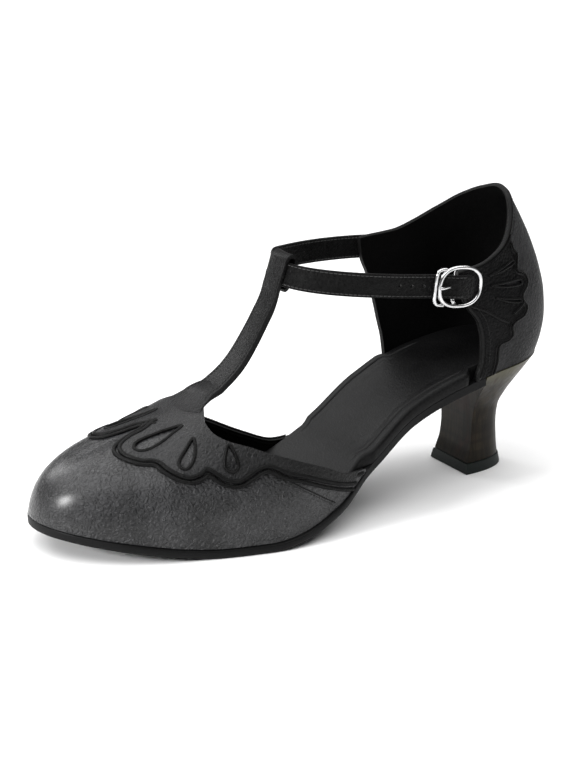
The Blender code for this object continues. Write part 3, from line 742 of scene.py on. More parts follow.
woodFinish = {
    "light": (0.028, 0.021, 0.012), "dark": (0.007, 0.0048, 0.0025), "layer": (0.004, 0.003, 0.0018),
    # the seat colour and the heights where it fades in make a painted highlight: a pale colour laid over the
    # top of the heel
    "seat": (0.075, 0.070, 0.045), "seatHighlightFrom": 0.042, "seatHighlightTo": 0.052, "worn": (0.026, 0.009, 0.005),
    "roughness": (0.28, 0.42),
}
liftFinish = {"dark": (0.002, 0.005, 0.004), "light": (0.005, 0.009, 0.008), "roughness": 0.55}
metalFinish = {"dark": (0.60, 0.60, 0.61), "light": (0.80, 0.80, 0.80), "roughness": (0.10, 0.24)}


def woodLook():
    # stained heel: upright grain in layers, a painted highlight in a paler colour near the seat, worn
    # reddish, with a satin lacquer
    look = woodFinish
    made = Look("stainedHeel", coat=0.03, coatRough=0.2, specular=0.08)
    grain = made.noise(90.0, 6, 0.62, 0.6, made.mapped((3.2, 3.2, 0.25)))
    streak = made.noise(420.0, 4, 0.6, 0.2, made.mapped((1.0, 1.0, 0.06)))
    tone = made.spread(made.sum(grain, made.sum(streak, 0.4, "MULTIPLY")), 0.5, 0.95)
    layers = made.spread(made.noise(26.0, 3, 0.6, 0.3, made.mapped((0.4, 0.4, 9.0))), 0.42, 0.62)
    base = made.mix(tone, look["dark"], look["light"])
    base = made.mix(made.sum(layers, 0.5, "MULTIPLY"), base, look["layer"])
    # painted highlight: the top of the heel is mixed toward the pale seat colour
    height = made.sum(made.axis("Z"), made.sum(grain, 0.004, "MULTIPLY"))
    seatHighlightMask = made.spread(height, look["seatHighlightFrom"], look["seatHighlightTo"])
    base = made.mix(seatHighlightMask, base, look["seat"])
    worn = made.spread(made.noise(60.0, 3, 0.6, 0.4, made.mapped((1.5, 1.5, 0.6))), 0.55, 0.72)
    made.colour(made.mix(made.sum(worn, 0.6, "MULTIPLY"), base, look["worn"]))
    made.rough(made.spread(streak, 0.3, 0.7, look["roughness"]))
    made.bump(streak, 0.15, 0.0004)
    made.bump(grain, 0.10, 0.0008)
    return made.material


def liftLook():
    made = Look("topPieceRubber", roughness=liftFinish["roughness"])
    speck = made.noise(1800.0, 3, 0.6)
    made.colour(made.mix(made.spread(speck, 0.3, 0.7), liftFinish["dark"], liftFinish["light"]))
    made.bump(speck, 0.25, 0.0003)
    return made.material


def metalLook():
    made = Look("polishedNickel", metallic=1.0)
    wear = made.noise(260.0, 4, 0.6)
    made.colour(made.mix(made.spread(wear, 0.35, 0.7), metalFinish["dark"], metalFinish["light"]))
    made.rough(made.spread(wear, 0.3, 0.7, metalFinish["roughness"]))
    made.bump(made.noise(900.0, 2, 0.5), 0.06, 0.0002)
    return made.material


heelWood = woodLook()
liftRubber = liftLook()
nickel = metalLook()
print("materials made")


def loftPiece(name, rings, look, node, slot, sharp=40):
    # rings of two mirrored halves; each end is closed by strips from half to half
    rings = np.asarray(rings)
    count, n = rings.shape[:2]
    faces = ringFaces(count, n)
    for base in (0, (count - 1) * n):
        for j in range(n // 2 - 1):
            faces.append((base + j, base + j + 1, base + n - 2 - j, base + n - 1 - j))
    return makePiece(name, rings.reshape(-1, 3), faces, [look], node, slot, sharp=sharp)


# outsole


def soleStations(low, high, count):
    # places along the sole, closer together near both ends
    turn = np.linspace(0, pi, count)
    return low + (high - low) * (1 - np.cos(turn)) / 2


# the sole's rounded edge, from the top down: out (share of the lip), up (share of its thickness)
soleEdge = (
    (0.0, 1.00), (0.55, 0.985), (0.9, 0.92), (1.0, 0.80),
    (1.0, 0.45), (0.9, 0.22), (0.6, 0.06), (-0.3, 0.0),
)


def makeOutsole():
    # a thin black sole, wider than the upper only from the waist forward
    rings = []
    back, tip = last["seatLength"] + last["gap"], last["length"] - outsoleLook["tipIn"]
    for x in soleStations(back, tip, outsoleLook["stations"]):
        lip = outsoleLook["lip"] * float(smoothTable(underside, 2, x / last["length"]))
        sides = []
        for side in (1, -1):
            for out, up in soleEdge:
                px, py = planEdge(x, side, out * lip)
                sides.append((px, py, undersideZ(x) + up * outsoleLook["thick"]))
        half = len(soleEdge)
        rings.append(sides[:half] + sides[:half - 1:-1])
    loftPiece("outsoleBody", rings, soleRubber, "outsole", "sole")


makeOutsole()

# insole, with the sock's turned edge and its pressed lines

insoleLook = {
    "thick": 0.0055, "toeThick": 0.0037, "slack": 0.0007,
    "notch": 0.0040, "dish": 0.18, "dishAt": 0.9, "roundDown": 0.0018, "roundIn": 0.0016, "roundPower": 2.2,
    "waistBack": (0.040, 0.055), "waistFront": (-0.006, 0.004), "thinBy": 0.57,
    "backIn": 1e-4, "tipIn": 2e-3, "stations": 190,
}
# the pressed lines: in from the edge, half width, depth
pressedLines = ((0.0046, 0.00040, 0.00075), (0.0085, 0.0010, 0.00030))


def insoleInset(x, side):
    # how far the insole stays inside the outline: clear of the walls, out to the edge at the open waist
    look, gap = insoleLook, last["gap"]
    front = (last["outerFront"] if side > 0 else last["innerFront"]) + 2 * gap
    wing = last["wing"] * last["length"] - 2 * gap
    inQuarter = 1 - ramp(x, front, front + look["notch"])
    inVamp = ramp(x, wing - look["notch"], wing)
    wall = last["quarterWall"] * inQuarter + last["vampWall"] * inVamp
    return wall + (gap + look["slack"]) * (inQuarter + inVamp)


def makeInsole():
    look = insoleLook
    wing = last["wing"] * last["length"]
    across = np.concatenate([
        [-1, -0.994, -0.982], np.linspace(-0.965, -0.72, 34), np.linspace(-0.7, 0.7, 24),
        np.linspace(0.72, 0.965, 34), [0.982, 0.994, 1],
    ])
    rings = []
    for x in soleStations(look["backIn"], last["length"] - look["tipIn"], look["stations"]):
        thinner = ramp(x, wing, look["thinBy"] * last["length"])
        thick = look["thick"] + (look["toeThick"] - look["thick"]) * thinner
        inner, outer = (
            np.array([*planEdge(x, side, -insoleInset(x, side)), featherZ(x)]) for side in (-1, 1)
        )
        mid, half = (inner + outer) / 2, (outer - inner) / 2
        width = np.linalg.norm(half)
        fromEdge = (1 - np.abs(across)) * width
        top = thick * (1 - look["dish"] + look["dish"] * np.minimum(1, np.abs(across) / look["dishAt"]) ** 2)
        top = top - look["roundDown"] * np.clip(1 - fromEdge / look["roundIn"], 0, 1) ** look["roundPower"]
        openWaist = ramp(x, *look["waistBack"])
        openWaist = openWaist * (1 - ramp(x, *(wing + end for end in look["waistFront"])))
        for inward, wide, deep in pressedLines:
            top = top - deep * openWaist * np.exp(-(((fromEdge - inward) / wide) ** 2))
        ring = [mid + half * s + np.array([0, 0, z]) for s, z in zip(across, top)]
        rings.append(ring + [mid + half * s for s in across[::-1]])
    loftPiece("insoleSock", rings, sockLeather, "insole", "sock", sharp=70)


makeInsole()
print("sole and insole made")

# heel and top lift

heelLook = {
    "power": 2.3, "lift": 0.0047, "flare": 0.0013, "middle": 0.7, "planFrom": 0.62, "slopeFrom": 0.5,
    "backTurn": 0.02, "rings": 44, "softEdge": 0.0003,
}
# up the top piece (share of its height), flare (share)
liftForm = ((0, 0.8), (0.08, 1), (0.83, 0.5), (0.97, 0.35), (1, 0.1))
# up, breast, back (shares of seat length), half width (share of the seat's)
heelForm = np.array([
    (0.00, 0.980, 0.402, 0.477),
    (0.16, 0.931, 0.422, 0.447),
    (0.33, 0.916, 0.430, 0.440),
    (0.50, 0.919, 0.412, 0.477),
    (0.65, 0.931, 0.325, 0.600),
    (0.80, 0.957, 0.185, 0.780),
    (0.90, 0.980, 0.085, 0.910),
    (1.00, 1.000, -0.012, 1.020),
])


def heelRing(t, grow=0.0, count=34):
    # a level section of the heel, at share t of its height
    seat = last["seatLength"]
    middleZ = undersideZ(seat * heelLook["middle"])
    liftTop = heelLook["lift"] + last["gap"]
    height = middleZ + outsoleLook["thick"] - liftTop
    breast, back, half = (float(smoothTable(heelForm, k, t)) for k in (1, 2, 3))
    x1, x0 = breast * seat + grow, back * seat - grow
    u = 1 - np.cos(np.linspace(heelLook["backTurn"], pi / 2, count))
    x = x0 + u * (x1 - x0)
    low = (1 - (1 - u) ** heelLook["power"]) ** (1 / heelLook["power"])
    plan = halfWidth(u * seat) / float(halfWidth(seat))
    blend = ramp(t, heelLook["planFrom"], 1.0)
    y = (half * float(halfWidth(seat)) + grow) * (low * (1 - blend) + plan * blend)
    slope = undersideZ(np.clip(x, 0, None)) - middleZ
    z = liftTop + t * height + slope * ramp(t, heelLook["slopeFrom"], 1.0)
    mid = centreY(seat)
    outer, inner = np.stack([x, mid + y, z], -1), np.stack([x, mid - y, z], -1)
    return np.concatenate([outer, inner[::-1]])


heelRings = [heelRing(t) for t in np.linspace(0, 1, heelLook["rings"])]
heel = loftPiece("heelBlock", heelRings, heelWood, "heel", "heel")
bevelEdges(heel, heelLook["softEdge"])
liftRings = []
for up, flare in liftForm:
    ring = heelRing(0.0, heelLook["flare"] * flare)
    ring[:, 2] = heelLook["lift"] * up
    liftRings.append(ring)
loftPiece("topPiece", liftRings, liftRubber, "top_lift", "lift")
print("heel made")

# vamp

vampLook = {"rows": 46, "crownRows": 18, "frontColumns": 150, "wingColumns": 70}


def vampGrids():
    throatHeight = last["throatHeight"]
    low = np.linspace(0, throatHeight, vampLook["rows"])
    rows = np.concatenate([low, np.linspace(throatHeight, 1, vampLook["crownRows"])[1:]])
    throat = last["throat"]
    front = np.linspace(-throat, throat, vampLook["frontColumns"])
    grids = [(vampPoint(front[:, None], rows[None]), False)]
    wings = throat + (1 - throat) * np.linspace(0, 1, vampLook["wingColumns"]) ** 1.3
    for side, column in ((1, 1), (-1, 2)):
        up = low[None] * (smoothTable(topline, column, wings) / throatHeight)[:, None]
        grids.append((vampPoint(side * wings[:, None], up), side < 0))
    return grids


def gridsMesh(grids):
    points, faces, start = [], [], 0
    for grid, flip in grids:
        rows, columns = grid.shape[:2]
        points.append(grid.reshape(-1, 3))
        faces.append(gridFaces(rows, columns, start, flip))
        start += rows * columns
    return np.concatenate(points), np.concatenate(faces)


vampPoints, vampFaces = gridsMesh(vampGrids())
shellPiece("vampUpper", vampPoints, vampFaces, last["vampWall"],
           [vampLeather, liningLeather, edgeLeather], "vamp", "vamp")

# the vamp's full skin, on which overlays are laid by their place along (mm) and round it (degrees)
skinA = np.linspace(-1, 1, 401)
skinH = np.linspace(0, 1, 121)
skinPoints, skinFaces = gridsMesh([(vampPoint(skinA[:, None], skinH[None]), False)])
skinTree = BVHTree.FromPolygons(skinPoints.tolist(), skinFaces.tolist())
axisLift, degreeWide = 0.008, 0.7


def skinAxis(x):
    return np.array([x, float(centreY(x)), float(featherZ(x)) + axisLift])


def onVamp(flat):
    # plane: x in mm, degrees from upright (toward the outer side) times degreeWide
    points, ups = [], []
    for along, turned in flat:
        turn = radians(turned / degreeWide)
        ray = Vector((0, sin(turn), np.cos(turn)))
        start = skinAxis(along / 1000)
        hit, normal = skinTree.ray_cast(Vector(start), ray)[:2]
        if hit is None:
            hit, normal = skinTree.find_nearest(Vector(start) + ray * 0.04)[:2]
        if normal.dot(ray) < 0:
            normal = -normal
        points.append(hit)
        ups.append(normal)
    return np.array(points), np.array(ups)


def toVampPlane(points):
    # the reverse of onVamp
    out = []
    for p in points:
        start = skinAxis(p[0])
        turn = np.degrees(np.arctan2(p[1] - start[1], p[2] - start[2]))
        out.append((p[0] * 1000, turn * degreeWide))
    return np.array(out)


def softened(ups, count):
    # directions along a path, each averaged with its neighbours
    padded = np.pad(ups, ((count // 2, count // 2), (0, 0)), mode="edge")
    kernel = np.ones(count) / count
    return unit(np.stack([np.convolve(padded[:, k], kernel, "valid") for k in range(3)], -1))


def laidPath(flat, height, onSurface):
    points, ups = onSurface(flat)
    ups = softened(ups, 5)
    return points + ups * height, ups


flower = {
    "thick": 0.0007, "cord": 0.00100, "innerCord": 0.00090, "cordIn": 2.7, "centre": 3.0,
    "toplineIn": 0.5, "spacing": 1.1, "holeCord": 0.00080, "cordOut": 0.5, "cordSink": 0.35,
    "innerLift": 0.8, "rimSink": 0.3, "throatLow": 0.745, "wingEnd": 0.972, "under": 0.0001,
    "softEdge": 0.00025,
}
# one half of the flower's edge: along (mm), degrees from its middle line, from the middle notch out
flowerEdge = np.array([
    (187.0, 0.0),
    (193.8, 6.6),
    (200.4, 9.8),
    (205.2, 15.6),
    (206.8, 23.2),
    (205.6, 30.6),
    (202.2, 36.4),
    (198.4, 38.0),
    (196.0, 41.0),
    (194.2, 46.2),
    (191.0, 51.0),
    (187.4, 52.8),
    (183.8, 51.2),
    (180.6, 48.6),
    (177.4, 52.2),
    (174.0, 56.6),
    (169.6, 58.0),
    (165.0, 55.2),
    (160.5, 52.0),
    (155.5, 51.8),
])
# the band's lower line on the wing: round the vamp, height on the outer side, on the inner side
wingBand = np.array([
    (0.800, 0.285, 0.255),
    (0.840, 0.235, 0.190),
    (0.880, 0.170, 0.125),
    (0.925, 0.095, 0.060),
    (0.965, 0.025, 0.018),
])
flowerHoles = [
    # long leaf, then two drops
    np.array([(201.5, 20.5), (202.4, 25.0), (200.8, 28.5), (197.5, 28.5), (192.4, 25.2), (186.7, 20.3),
              (181.4, 16.2), (186.6, 14.4), (193.4, 15.6), (198.5, 17.4)]),
    np.array([(181.2, 29.0), (185.6, 35.0), (189.6, 42.0), (190.2, 46.0), (188.4, 48.2), (185.4, 45.0),
              (182.6, 37.5)]),
    np.array([(170.2, 38.2), (173.0, 44.5), (173.8, 50.5), (171.2, 53.4), (168.8, 50.6), (168.9, 44.0)]),
]


def flowerPlane(table, side):
    flat = np.array(table, float)
    turned = side * flat[:, 1] + flower["centre"]
    return np.stack([flat[:, 0], turned * degreeWide], -1)


def toplinePlane(side, column, inset):
    # the topline in the overlay's plane, from the throat to the wing end, moved in by inset (mm)
    throatRows = np.linspace(1, flower["throatLow"], 12)
    throatLine = vampPoint(side * last["throat"], throatRows)
    around = last["throat"] + (flower["wingEnd"] - last["throat"]) * np.linspace(0.004, 1, 70) ** 1.2
    topLine = vampPoint(side * around, smoothTable(topline, column, around))
    flat = toVampPlane(np.concatenate([throatLine, topLine]))
    way = unit(np.gradient(flat, axis=0))
    return flat + np.stack([way[:, 1], -way[:, 0]], -1) * -side * inset


def insetLoop(loop, distance):
    # an open path moved sideways
    way = unit(np.gradient(loop, axis=0))
    return loop + np.stack([way[:, 1], -way[:, 0]], -1) * distance


def makeFlower():
    halves = {}
    for side in (1, -1):
        low = vampPoint(side * wingBand[:, 0], wingBand[:, 1 if side > 0 else 2])
        halves[side] = curveThrough(np.concatenate([flowerPlane(flowerEdge, side), toVampPlane(low)]), 0.45)
    outerTop = toplinePlane(1, 1, flower["toplineIn"])
    innerTop = toplinePlane(-1, 2, flower["toplineIn"])
    loop = np.concatenate([
        halves[1][::-1], halves[-1][1:],
        evenSteps(innerTop[::-1], 0.6), evenSteps(outerTop, 0.6),
    ])
    holes = [curveThrough(flowerPlane(h, side), 0.4, True) for h in flowerHoles for side in (1, -1)]
    sheet = drapeSheet("flowerOverlay", loop, holes, flower, onVamp, overlayLeather, "vamp")
    bevelEdges(sheet, flower["softEdge"])
    cords = []
    for side in (1, -1):
        edge = halves[side]
        rows = (
            (flower["cordOut"], flower["cord"], 1.0),
            (flower["cordIn"], flower["innerCord"], flower["innerLift"]),
        )
        for inward, radius, lift in rows:
            path, ups = laidPath(insetLoop(edge, side * inward), flower["thick"] * lift, onVamp)
            path = path - ups * radius * flower["cordSink"]
            cords.append(tubeMesh(path, radius, ups, sides=10))
    makeJoined("flowerCords", cords, cordLeather, None, "vamp")
    rims = []
    for hole in holes:
        base, ups = onVamp(hole)
        rim = base + ups * (flower["thick"] - flower["holeCord"] * flower["rimSink"])
        rims.append(tubeMesh(rim, flower["holeCord"], ups, sides=8, closed=True))
    makeJoined("flowerDropCords", rims, cordLeather, None, "vamp")


makeFlower()
print("vamp and its flower made")

# rolled binding along the vamp's topline, and the seam stitched below the band

bindingLook = {
    "radius": 0.00115, "squash": 1.15, "proud": 0.0003, "throatIn": 0.010, "toplineIn": 0.018,
    "wingEnd": 0.991, "lowest": 0.004, "fold": 0.00032, "foldSink": 0.0001, "seamOut": 0.9,
}
# the seam under the band: round the vamp, height
wingSeam = np.array([(0.758, 0.300), (0.788, 0.258), (0.818, 0.205), (0.860, 0.125), (0.905, 0.030)])
seamStitch = {"length": 0.0011, "space": 0.0005, "thread": 0.00016}


def makeBinding():
    low = []
    for side, column in ((1, 1), (-1, 2)):
        throatRows = np.linspace(1, last["throatHeight"], 40)[:-1]
        throatLine = vampPoint(side * (last["throat"] - bindingLook["throatIn"]), throatRows)
        around = last["throat"] + (bindingLook["wingEnd"] - last["throat"]) * np.linspace(0, 1, 140) ** 1.2
        under = smoothTable(topline, column, around) - bindingLook["toplineIn"]
        topLine = vampPoint(side * around, np.maximum(under, bindingLook["lowest"]))
        low.append(np.concatenate([throatLine, topLine]))
    path = evenSteps(np.concatenate([low[1][::-1], low[0][1:]]), 0.0006)
    ups = []
    for p in path:
        normal = skinTree.find_nearest(Vector(p))[1]
        start = Vector(skinAxis(p[0]))
        if normal.dot(Vector(p) - start) < 0:
            normal = -normal
        ups.append(normal)
    ups = softened(unit(np.array(ups)), 9)
    centre = path - ups * (last["vampWall"] / 2 - bindingLook["proud"])
    points, faces = tubeMesh(centre, bindingLook["radius"], ups, sides=14, squash=bindingLook["squash"])
    makePiece("toplineBinding", points, faces, [bindingLeather], None, "vamp")
    seams = []
    folds = []
    for side in (1, -1):
        line = vampPoint(side * wingSeam[:, 0], wingSeam[:, 1])
        flat = curveThrough(toVampPlane(line), 0.5)
        sunk = laidPath(flat, -bindingLook["foldSink"], onVamp)[0]
        folds.append(tubeMesh(sunk, bindingLook["fold"], sides=8))
        beside = insetLoop(flat, side * bindingLook["seamOut"])
        seams.append(stitchRun(*laidPath(beside, 0.0, onVamp), seamStitch))
    makeJoined("wingFold", folds, bindingLeather, None, "vamp")
    makeJoined("wingSeam", seams, darkThread, None, "vamp")


makeBinding()

# quarter

quarterLook = {
    "columns": 170, "rows": 64, "binding": 0.00125, "bindingIn": 0.9,
    "bindingProud": 0.0002, "frontStitch": 0.955, "collarStitch": 0.962, "collarReach": 0.43,
}
# the quarter's plane, on which the fans are laid, in mm
roundWide, upWide = 62.0, 70.0


def quarterGrid():
    around = np.linspace(-1, 1, quarterLook["columns"])
    up = np.linspace(0, 1, quarterLook["rows"])
    return quarterPoint(around[:, None], up[None])


quarterPoints, quarterFaces = gridsMesh([(quarterGrid(), True)])
shellPiece("quarterUpper", quarterPoints, quarterFaces, last["quarterWall"],
           [quarterLeather, liningLeather, edgeLeather], "quarter", "quarter")


def onQuarter(flat):
    # points of the quarter's plane, as points and outward directions
    b, h = flat[:, 0] / roundWide, flat[:, 1] / upWide
    e = 1e-3
    across = quarterPoint(b + e, h) - quarterPoint(b - e, h)
    upward = quarterPoint(b, np.clip(h + e, 0, 1)) - quarterPoint(b, np.clip(h - e, 0, 1))
    normal = unit(np.cross(across, upward))
    point = quarterPoint(b, h)
    outside = point - np.array([last["seatLength"], 0, 0])
    outside[:, 2] = 0
    flip = (normal * outside).sum(1) < 0
    normal[flip] *= -1
    return point, normal


fan = {
    "thick": 0.0008, "under": 0.0001, "softEdge": 0.00025, "cord": 0.00060, "cordOut": 0.4,
    "innerCord": 0.00048, "innerIn": 1.7, "innerSink": 0.0001, "cordTop": 0.955, "spacing": 1.2,
    "back": 0.440, "front": 0.985, "foot": 0.866, "top": 0.985, "bottom": 0.015,
}
# round the quarter, up it: from the collar, over the fan's lobes and down to the seat line
fanEdge = np.array([
    (0.440, 0.985),
    (0.486, 0.930),
    (0.478, 0.870),
    (0.520, 0.820),
    (0.548, 0.785),
    (0.508, 0.730),
    (0.505, 0.670),
    (0.545, 0.630),
    (0.612, 0.600),
    (0.628, 0.560),
    (0.615, 0.500),
    (0.660, 0.440),
    (0.735, 0.425),
    (0.768, 0.395),
    (0.768, 0.320),
    (0.810, 0.280),
    (0.872, 0.270),
    (0.880, 0.200),
    (0.872, 0.110),
    (0.866, 0.015),
])
fanSlits = [
    np.array([(0.770, 0.888), (0.675, 0.880), (0.560, 0.868), (0.545, 0.852), (0.565, 0.842),
              (0.680, 0.862)]),
    np.array([(0.785, 0.800), (0.690, 0.762), (0.590, 0.722), (0.570, 0.700), (0.590, 0.678),
              (0.690, 0.724)]),
    np.array([(0.800, 0.690), (0.720, 0.630), (0.660, 0.590), (0.650, 0.572), (0.672, 0.566),
              (0.735, 0.612)]),
]
# cords sewn over the fan, from its front edge backward
fanLines = [
    np.array([(0.985, 0.700), (0.930, 0.628), (0.865, 0.520), (0.800, 0.450)]),
    np.array([(0.745, 0.505), (0.700, 0.520), (0.645, 0.545)]),
]


def quarterPlane(table, side):
    flat = np.array(table, float)
    return np.stack([side * flat[:, 0] * roundWide, flat[:, 1] * upWide], -1)


def makeFan(side, name):
    edge = curveThrough(quarterPlane(fanEdge, side), 0.5)
    corners = [
        (fan["foot"], fan["bottom"]), (fan["front"], fan["bottom"]),
        (fan["front"], fan["top"]), (fan["back"], fan["top"]),
    ]
    straight = [quarterPlane(corners[i:i + 2], side) for i in range(3)]
    loop = np.concatenate([edge] + [evenSteps(line, 0.9)[1:-1] for line in straight])
    slits = [curveThrough(quarterPlane(s, side), 0.4, True) for s in fanSlits]
    sheet = drapeSheet(name + "Overlay", loop, slits, fan, onQuarter, fanLeather, "quarter")
    bevelEdges(sheet, fan["softEdge"])
    cords = []
    rows = ((fan["cordOut"], fan["cord"], 0.0), (fan["innerIn"], fan["innerCord"], fan["innerSink"]))
    for inward, radius, sink in rows:
        line = insetLoop(edge, -side * inward)
        line = line[line[:, 1] < fan["cordTop"] * upWide]
        path, ups = laidPath(line, fan["thick"] - sink, onQuarter)
        cords.append(tubeMesh(path, radius, ups, sides=8))
    for slit in slits:
        base, ups = onQuarter(slit)
        cords.append(tubeMesh(base + ups * fan["thick"], fan["innerCord"], ups, sides=8, closed=True))
    for line in fanLines:
        path, ups = laidPath(curveThrough(quarterPlane(line, side), 0.6), fan["thick"], onQuarter)
        cords.append(tubeMesh(path, fan["cord"], ups, sides=8))
    makeJoined(name + "Cords", cords, cordLeather, None, "quarter")


makeFan(1, "outerFan")
makeFan(-1, "innerFan")


def makeQuarterTrim():
    # binding rolled over the collar and the two front edges
    around = np.linspace(-1, 1, 300)[1:-1]
    up = np.linspace(0.01, 1, 120)
    run = np.concatenate([
        np.stack([np.full_like(up, -1.0), up], -1),
        np.stack([around, np.ones_like(around)], -1),
        np.stack([np.ones_like(up), up[::-1]], -1),
    ])
    flat = run * np.array([roundWide, upWide])
    edgeIn = quarterLook["bindingIn"]
    points, ups = onQuarter(np.clip(flat, [edgeIn - roundWide, 0], [roundWide - edgeIn, upWide - edgeIn]))
    path = points - ups * (last["quarterWall"] / 2 - quarterLook["bindingProud"])
    steps = evenSteps(np.concatenate([path, ups], 1), 0.0007)
    path, ups = steps[:, :3], unit(steps[:, 3:])
    tube = tubeMesh(path, quarterLook["binding"], ups, sides=14)
    makePiece("collarBinding", *tube, [bindingLeather], None, "quarter")
    stitches = []
    for side in (1, -1):
        inward = quarterPlane([(quarterLook["frontStitch"], up) for up in (0.03, 0.3, 0.6, 0.95)], side)
        stitches.append(stitchRun(*laidPath(curveThrough(inward, 0.6), fan["thick"], onQuarter), seamStitch))
    reach = quarterLook["collarReach"]
    collar = quarterPlane([(b, quarterLook["collarStitch"]) for b in np.linspace(-reach, reach, 160)], 1)
    stitches.append(stitchRun(*laidPath(collar, 0.0, onQuarter), seamStitch))
    makeJoined("quarterStitching", stitches, darkThread, None, "quarter")


makeQuarterTrim()
print("quarter and its fans made")

# straps

strapLook = {
    "width": 0.0102, "thick": 0.0018, "square": 2.4, "buckleX": 0.0600, "buckleHeight": 0.0500,
    "innerEndX": 0.0560, "innerEndHeight": 0.0533, "innerSlope": 0.15, "loopBack": 0.0386,
    "loopHeight": 0.0928, "curveSlack": 0.0005, "edgeIn": 0.0010, "innerClimb": 0.75, "innerCut": 0.0012,
    "hump": 0.0012, "humpY": -0.015, "humpWide": 0.006, "tipLength": 0.0035, "tipWidth": 0.62,
    "softEdge": 0.00045, "holes": (0.0068, 0.0125, 0.0182), "holeRadius": 0.0009,
    "punchLength": 0.006,
}
buckleLook = {
    "ringX": 0.0592, "length": 0.0234, "height": 0.0183, "square": 2.5, "turn": 0.05, "wire": 0.0017,
    "barWire": 0.0014, "barDrop": 0.0026, "barAlong": 0.0010, "pin": 0.0012, "keeperWire": 0.0013,
    "keeperAhead": 0.0022, "tabThick": 0.0008, "tabWidth": 0.0070, "tabClose": 0.0014, "tipSettle": 0.0004,
    "tailFront": 0.93, "tailBack": -0.64, "tailRise": (0.04, 0.89), "tipFall": (0.1, 0.64),
    "tabFront": 0.22, "tabBack": 0.76, "tabCloseFrom": 0.15, "tabEdge": 0.00025, "pinWide": 1.1,
}
strapStitch = {"length": 0.0013, "space": 0.0006, "thread": 0.00017}
throatX = float(vampPoint(last["throat"], 1.0)[0])
loopX = throatX - strapLook["loopBack"]
loopZ = float(featherZ(loopX)) + strapLook["loopHeight"]
quarterOut = float(quarterPoint(1, 0.9)[1])
quarterIn = -float(quarterPoint(-1, 0.9)[1])
innerSpread = quarterIn + last["gap"] + strapLook["thick"] / 2 + strapLook["curveSlack"]
barY = (
    quarterOut + last["gap"] + buckleLook["tabThick"] + last["gap"]
    + buckleLook["barWire"] / 2 + strapLook["curveSlack"]
)
ringY = barY + buckleLook["barDrop"]
outerSpread = ringY - buckleLook["wire"] / 2 - last["gap"] - strapLook["thick"] / 2


def strapPath(v):
    # centre of the ankle strap: 0 inner end, 1 in the loop, 2 outer end
    look = strapLook
    turn = np.clip(np.abs(v - 1), 0, 1) * pi / 2
    inner = v < 1
    reach = loopX - look["buckleX"]
    x = look["buckleX"] + reach * np.cos(turn) ** (2 / look["square"])
    y = np.where(inner, -innerSpread, outerSpread) * np.sin(turn) ** (2 / look["square"])
    endHeight = np.where(inner, look["innerEndHeight"], look["buckleHeight"])
    low = featherZ(look["buckleX"]) + endHeight
    share = (x - look["buckleX"]) / reach
    z = low + (loopZ - low) * share ** np.where(inner, look["innerClimb"], 1.0)
    z = z + look["hump"] * np.exp(-(((y - look["humpY"]) / look["humpWide"]) ** 2))
    return np.stack([x, y, z], -1)


def strapTurns(count):
    # places along the strap, closer together near its two ends
    half = np.linspace(0, 1, count) ** 0.9
    return np.concatenate([half, 2 - half[-2::-1]])


coarse = strapPath(strapTurns(24))
tilt = (coarse[-1] - coarse[-7])[2] / (coarse[-1] - coarse[-7])[0]
ringMid = np.array([
    buckleLook["ringX"], ringY, coarse[-1][2] + (buckleLook["ringX"] - coarse[-1][0]) * tilt
])
aheadWay = unit(np.array([1, buckleLook["turn"], tilt]))
outWay = unit(np.cross((0, 0, 1), aheadWay))
upWay = np.cross(aheadWay, outWay)
halfLength = (buckleLook["length"] - buckleLook["wire"]) / 2
halfHeight = (buckleLook["height"] - buckleLook["wire"]) / 2


def atBuckle(ahead, out, up=0.0):
    ahead, out, up = np.broadcast_arrays(*(np.asarray(v, float)[..., None] for v in (ahead, out, up)))
    return ringMid + ahead * aheadWay + out * outWay + up * upWay


def ankleStrapPath():
    look, gap = buckleLook, last["gap"]
    underWire = -(look["wire"] / 2 + gap + strapLook["thick"] / 2)
    overTab = -look["barDrop"] + look["barWire"] / 2 + 2 * gap + look["tabThick"] + strapLook["thick"] / 2
    tail = np.linspace(look["tailFront"], look["tailBack"], 30)
    rise = overTab + (underWire - overTab) * ramp(tail, *look["tailRise"])
    rise = rise - look["tipSettle"] * ramp(-tail, *look["tipFall"])
    path = strapPath(strapTurns(90))
    innerWay = np.array([1, 0, strapLook["innerSlope"]])
    ends = (strapLook["innerEndX"], strapLook["buckleX"] - strapLook["innerCut"])
    innerTail = [path[0] + innerWay * (x - strapLook["buckleX"]) for x in ends]
    keep = (path[:, 0] > look["ringX"] + halfLength + gap) | (path[:, 1] < 0)
    path = np.concatenate([innerTail, path[keep], atBuckle(tail * halfLength, rise)])
    return evenSteps(path, 0.0008)


def strapDirections(path):
    # along the strap, across it, and out of its face
    way = unit(np.gradient(path, axis=0))
    outward = unit(np.stack([way[:, 1], -way[:, 0], np.zeros(len(path))], -1))
    middle = np.array([buckleLook["ringX"], 0, 0])
    outward *= np.sign((outward * (path - middle)).sum(-1))[:, None]
    near = np.exp(-((path[:, 1] / (2 * strapLook["width"])) ** 2))
    inLoop = near * ramp(path[:, 0], loopX - loopLook["leanFrom"], loopX - loopLook["leanFull"])
    outward = unit(outward + np.array([0, 0, np.tan(radians(loopLook["lean"]))]) * inLoop[:, None])
    across = unit(np.cross(way, outward))
    return way, across, unit(np.cross(across, way))


def roundedStrip(width, thick, ease, steps=4):
    # section of a strap with eased edges, as (across, out) pairs
    w, t = width / 2 - ease, thick / 2 - ease
    corner = np.linspace(0, pi / 2, steps)
    pairs = []
    for cx, cy, start in ((w, t, 0), (-w, t, pi / 2), (-w, -t, pi), (w, -t, 3 * pi / 2)):
        pairs += [(cx + ease * np.cos(start + c), cy + ease * np.sin(start + c)) for c in corner]
    return pairs


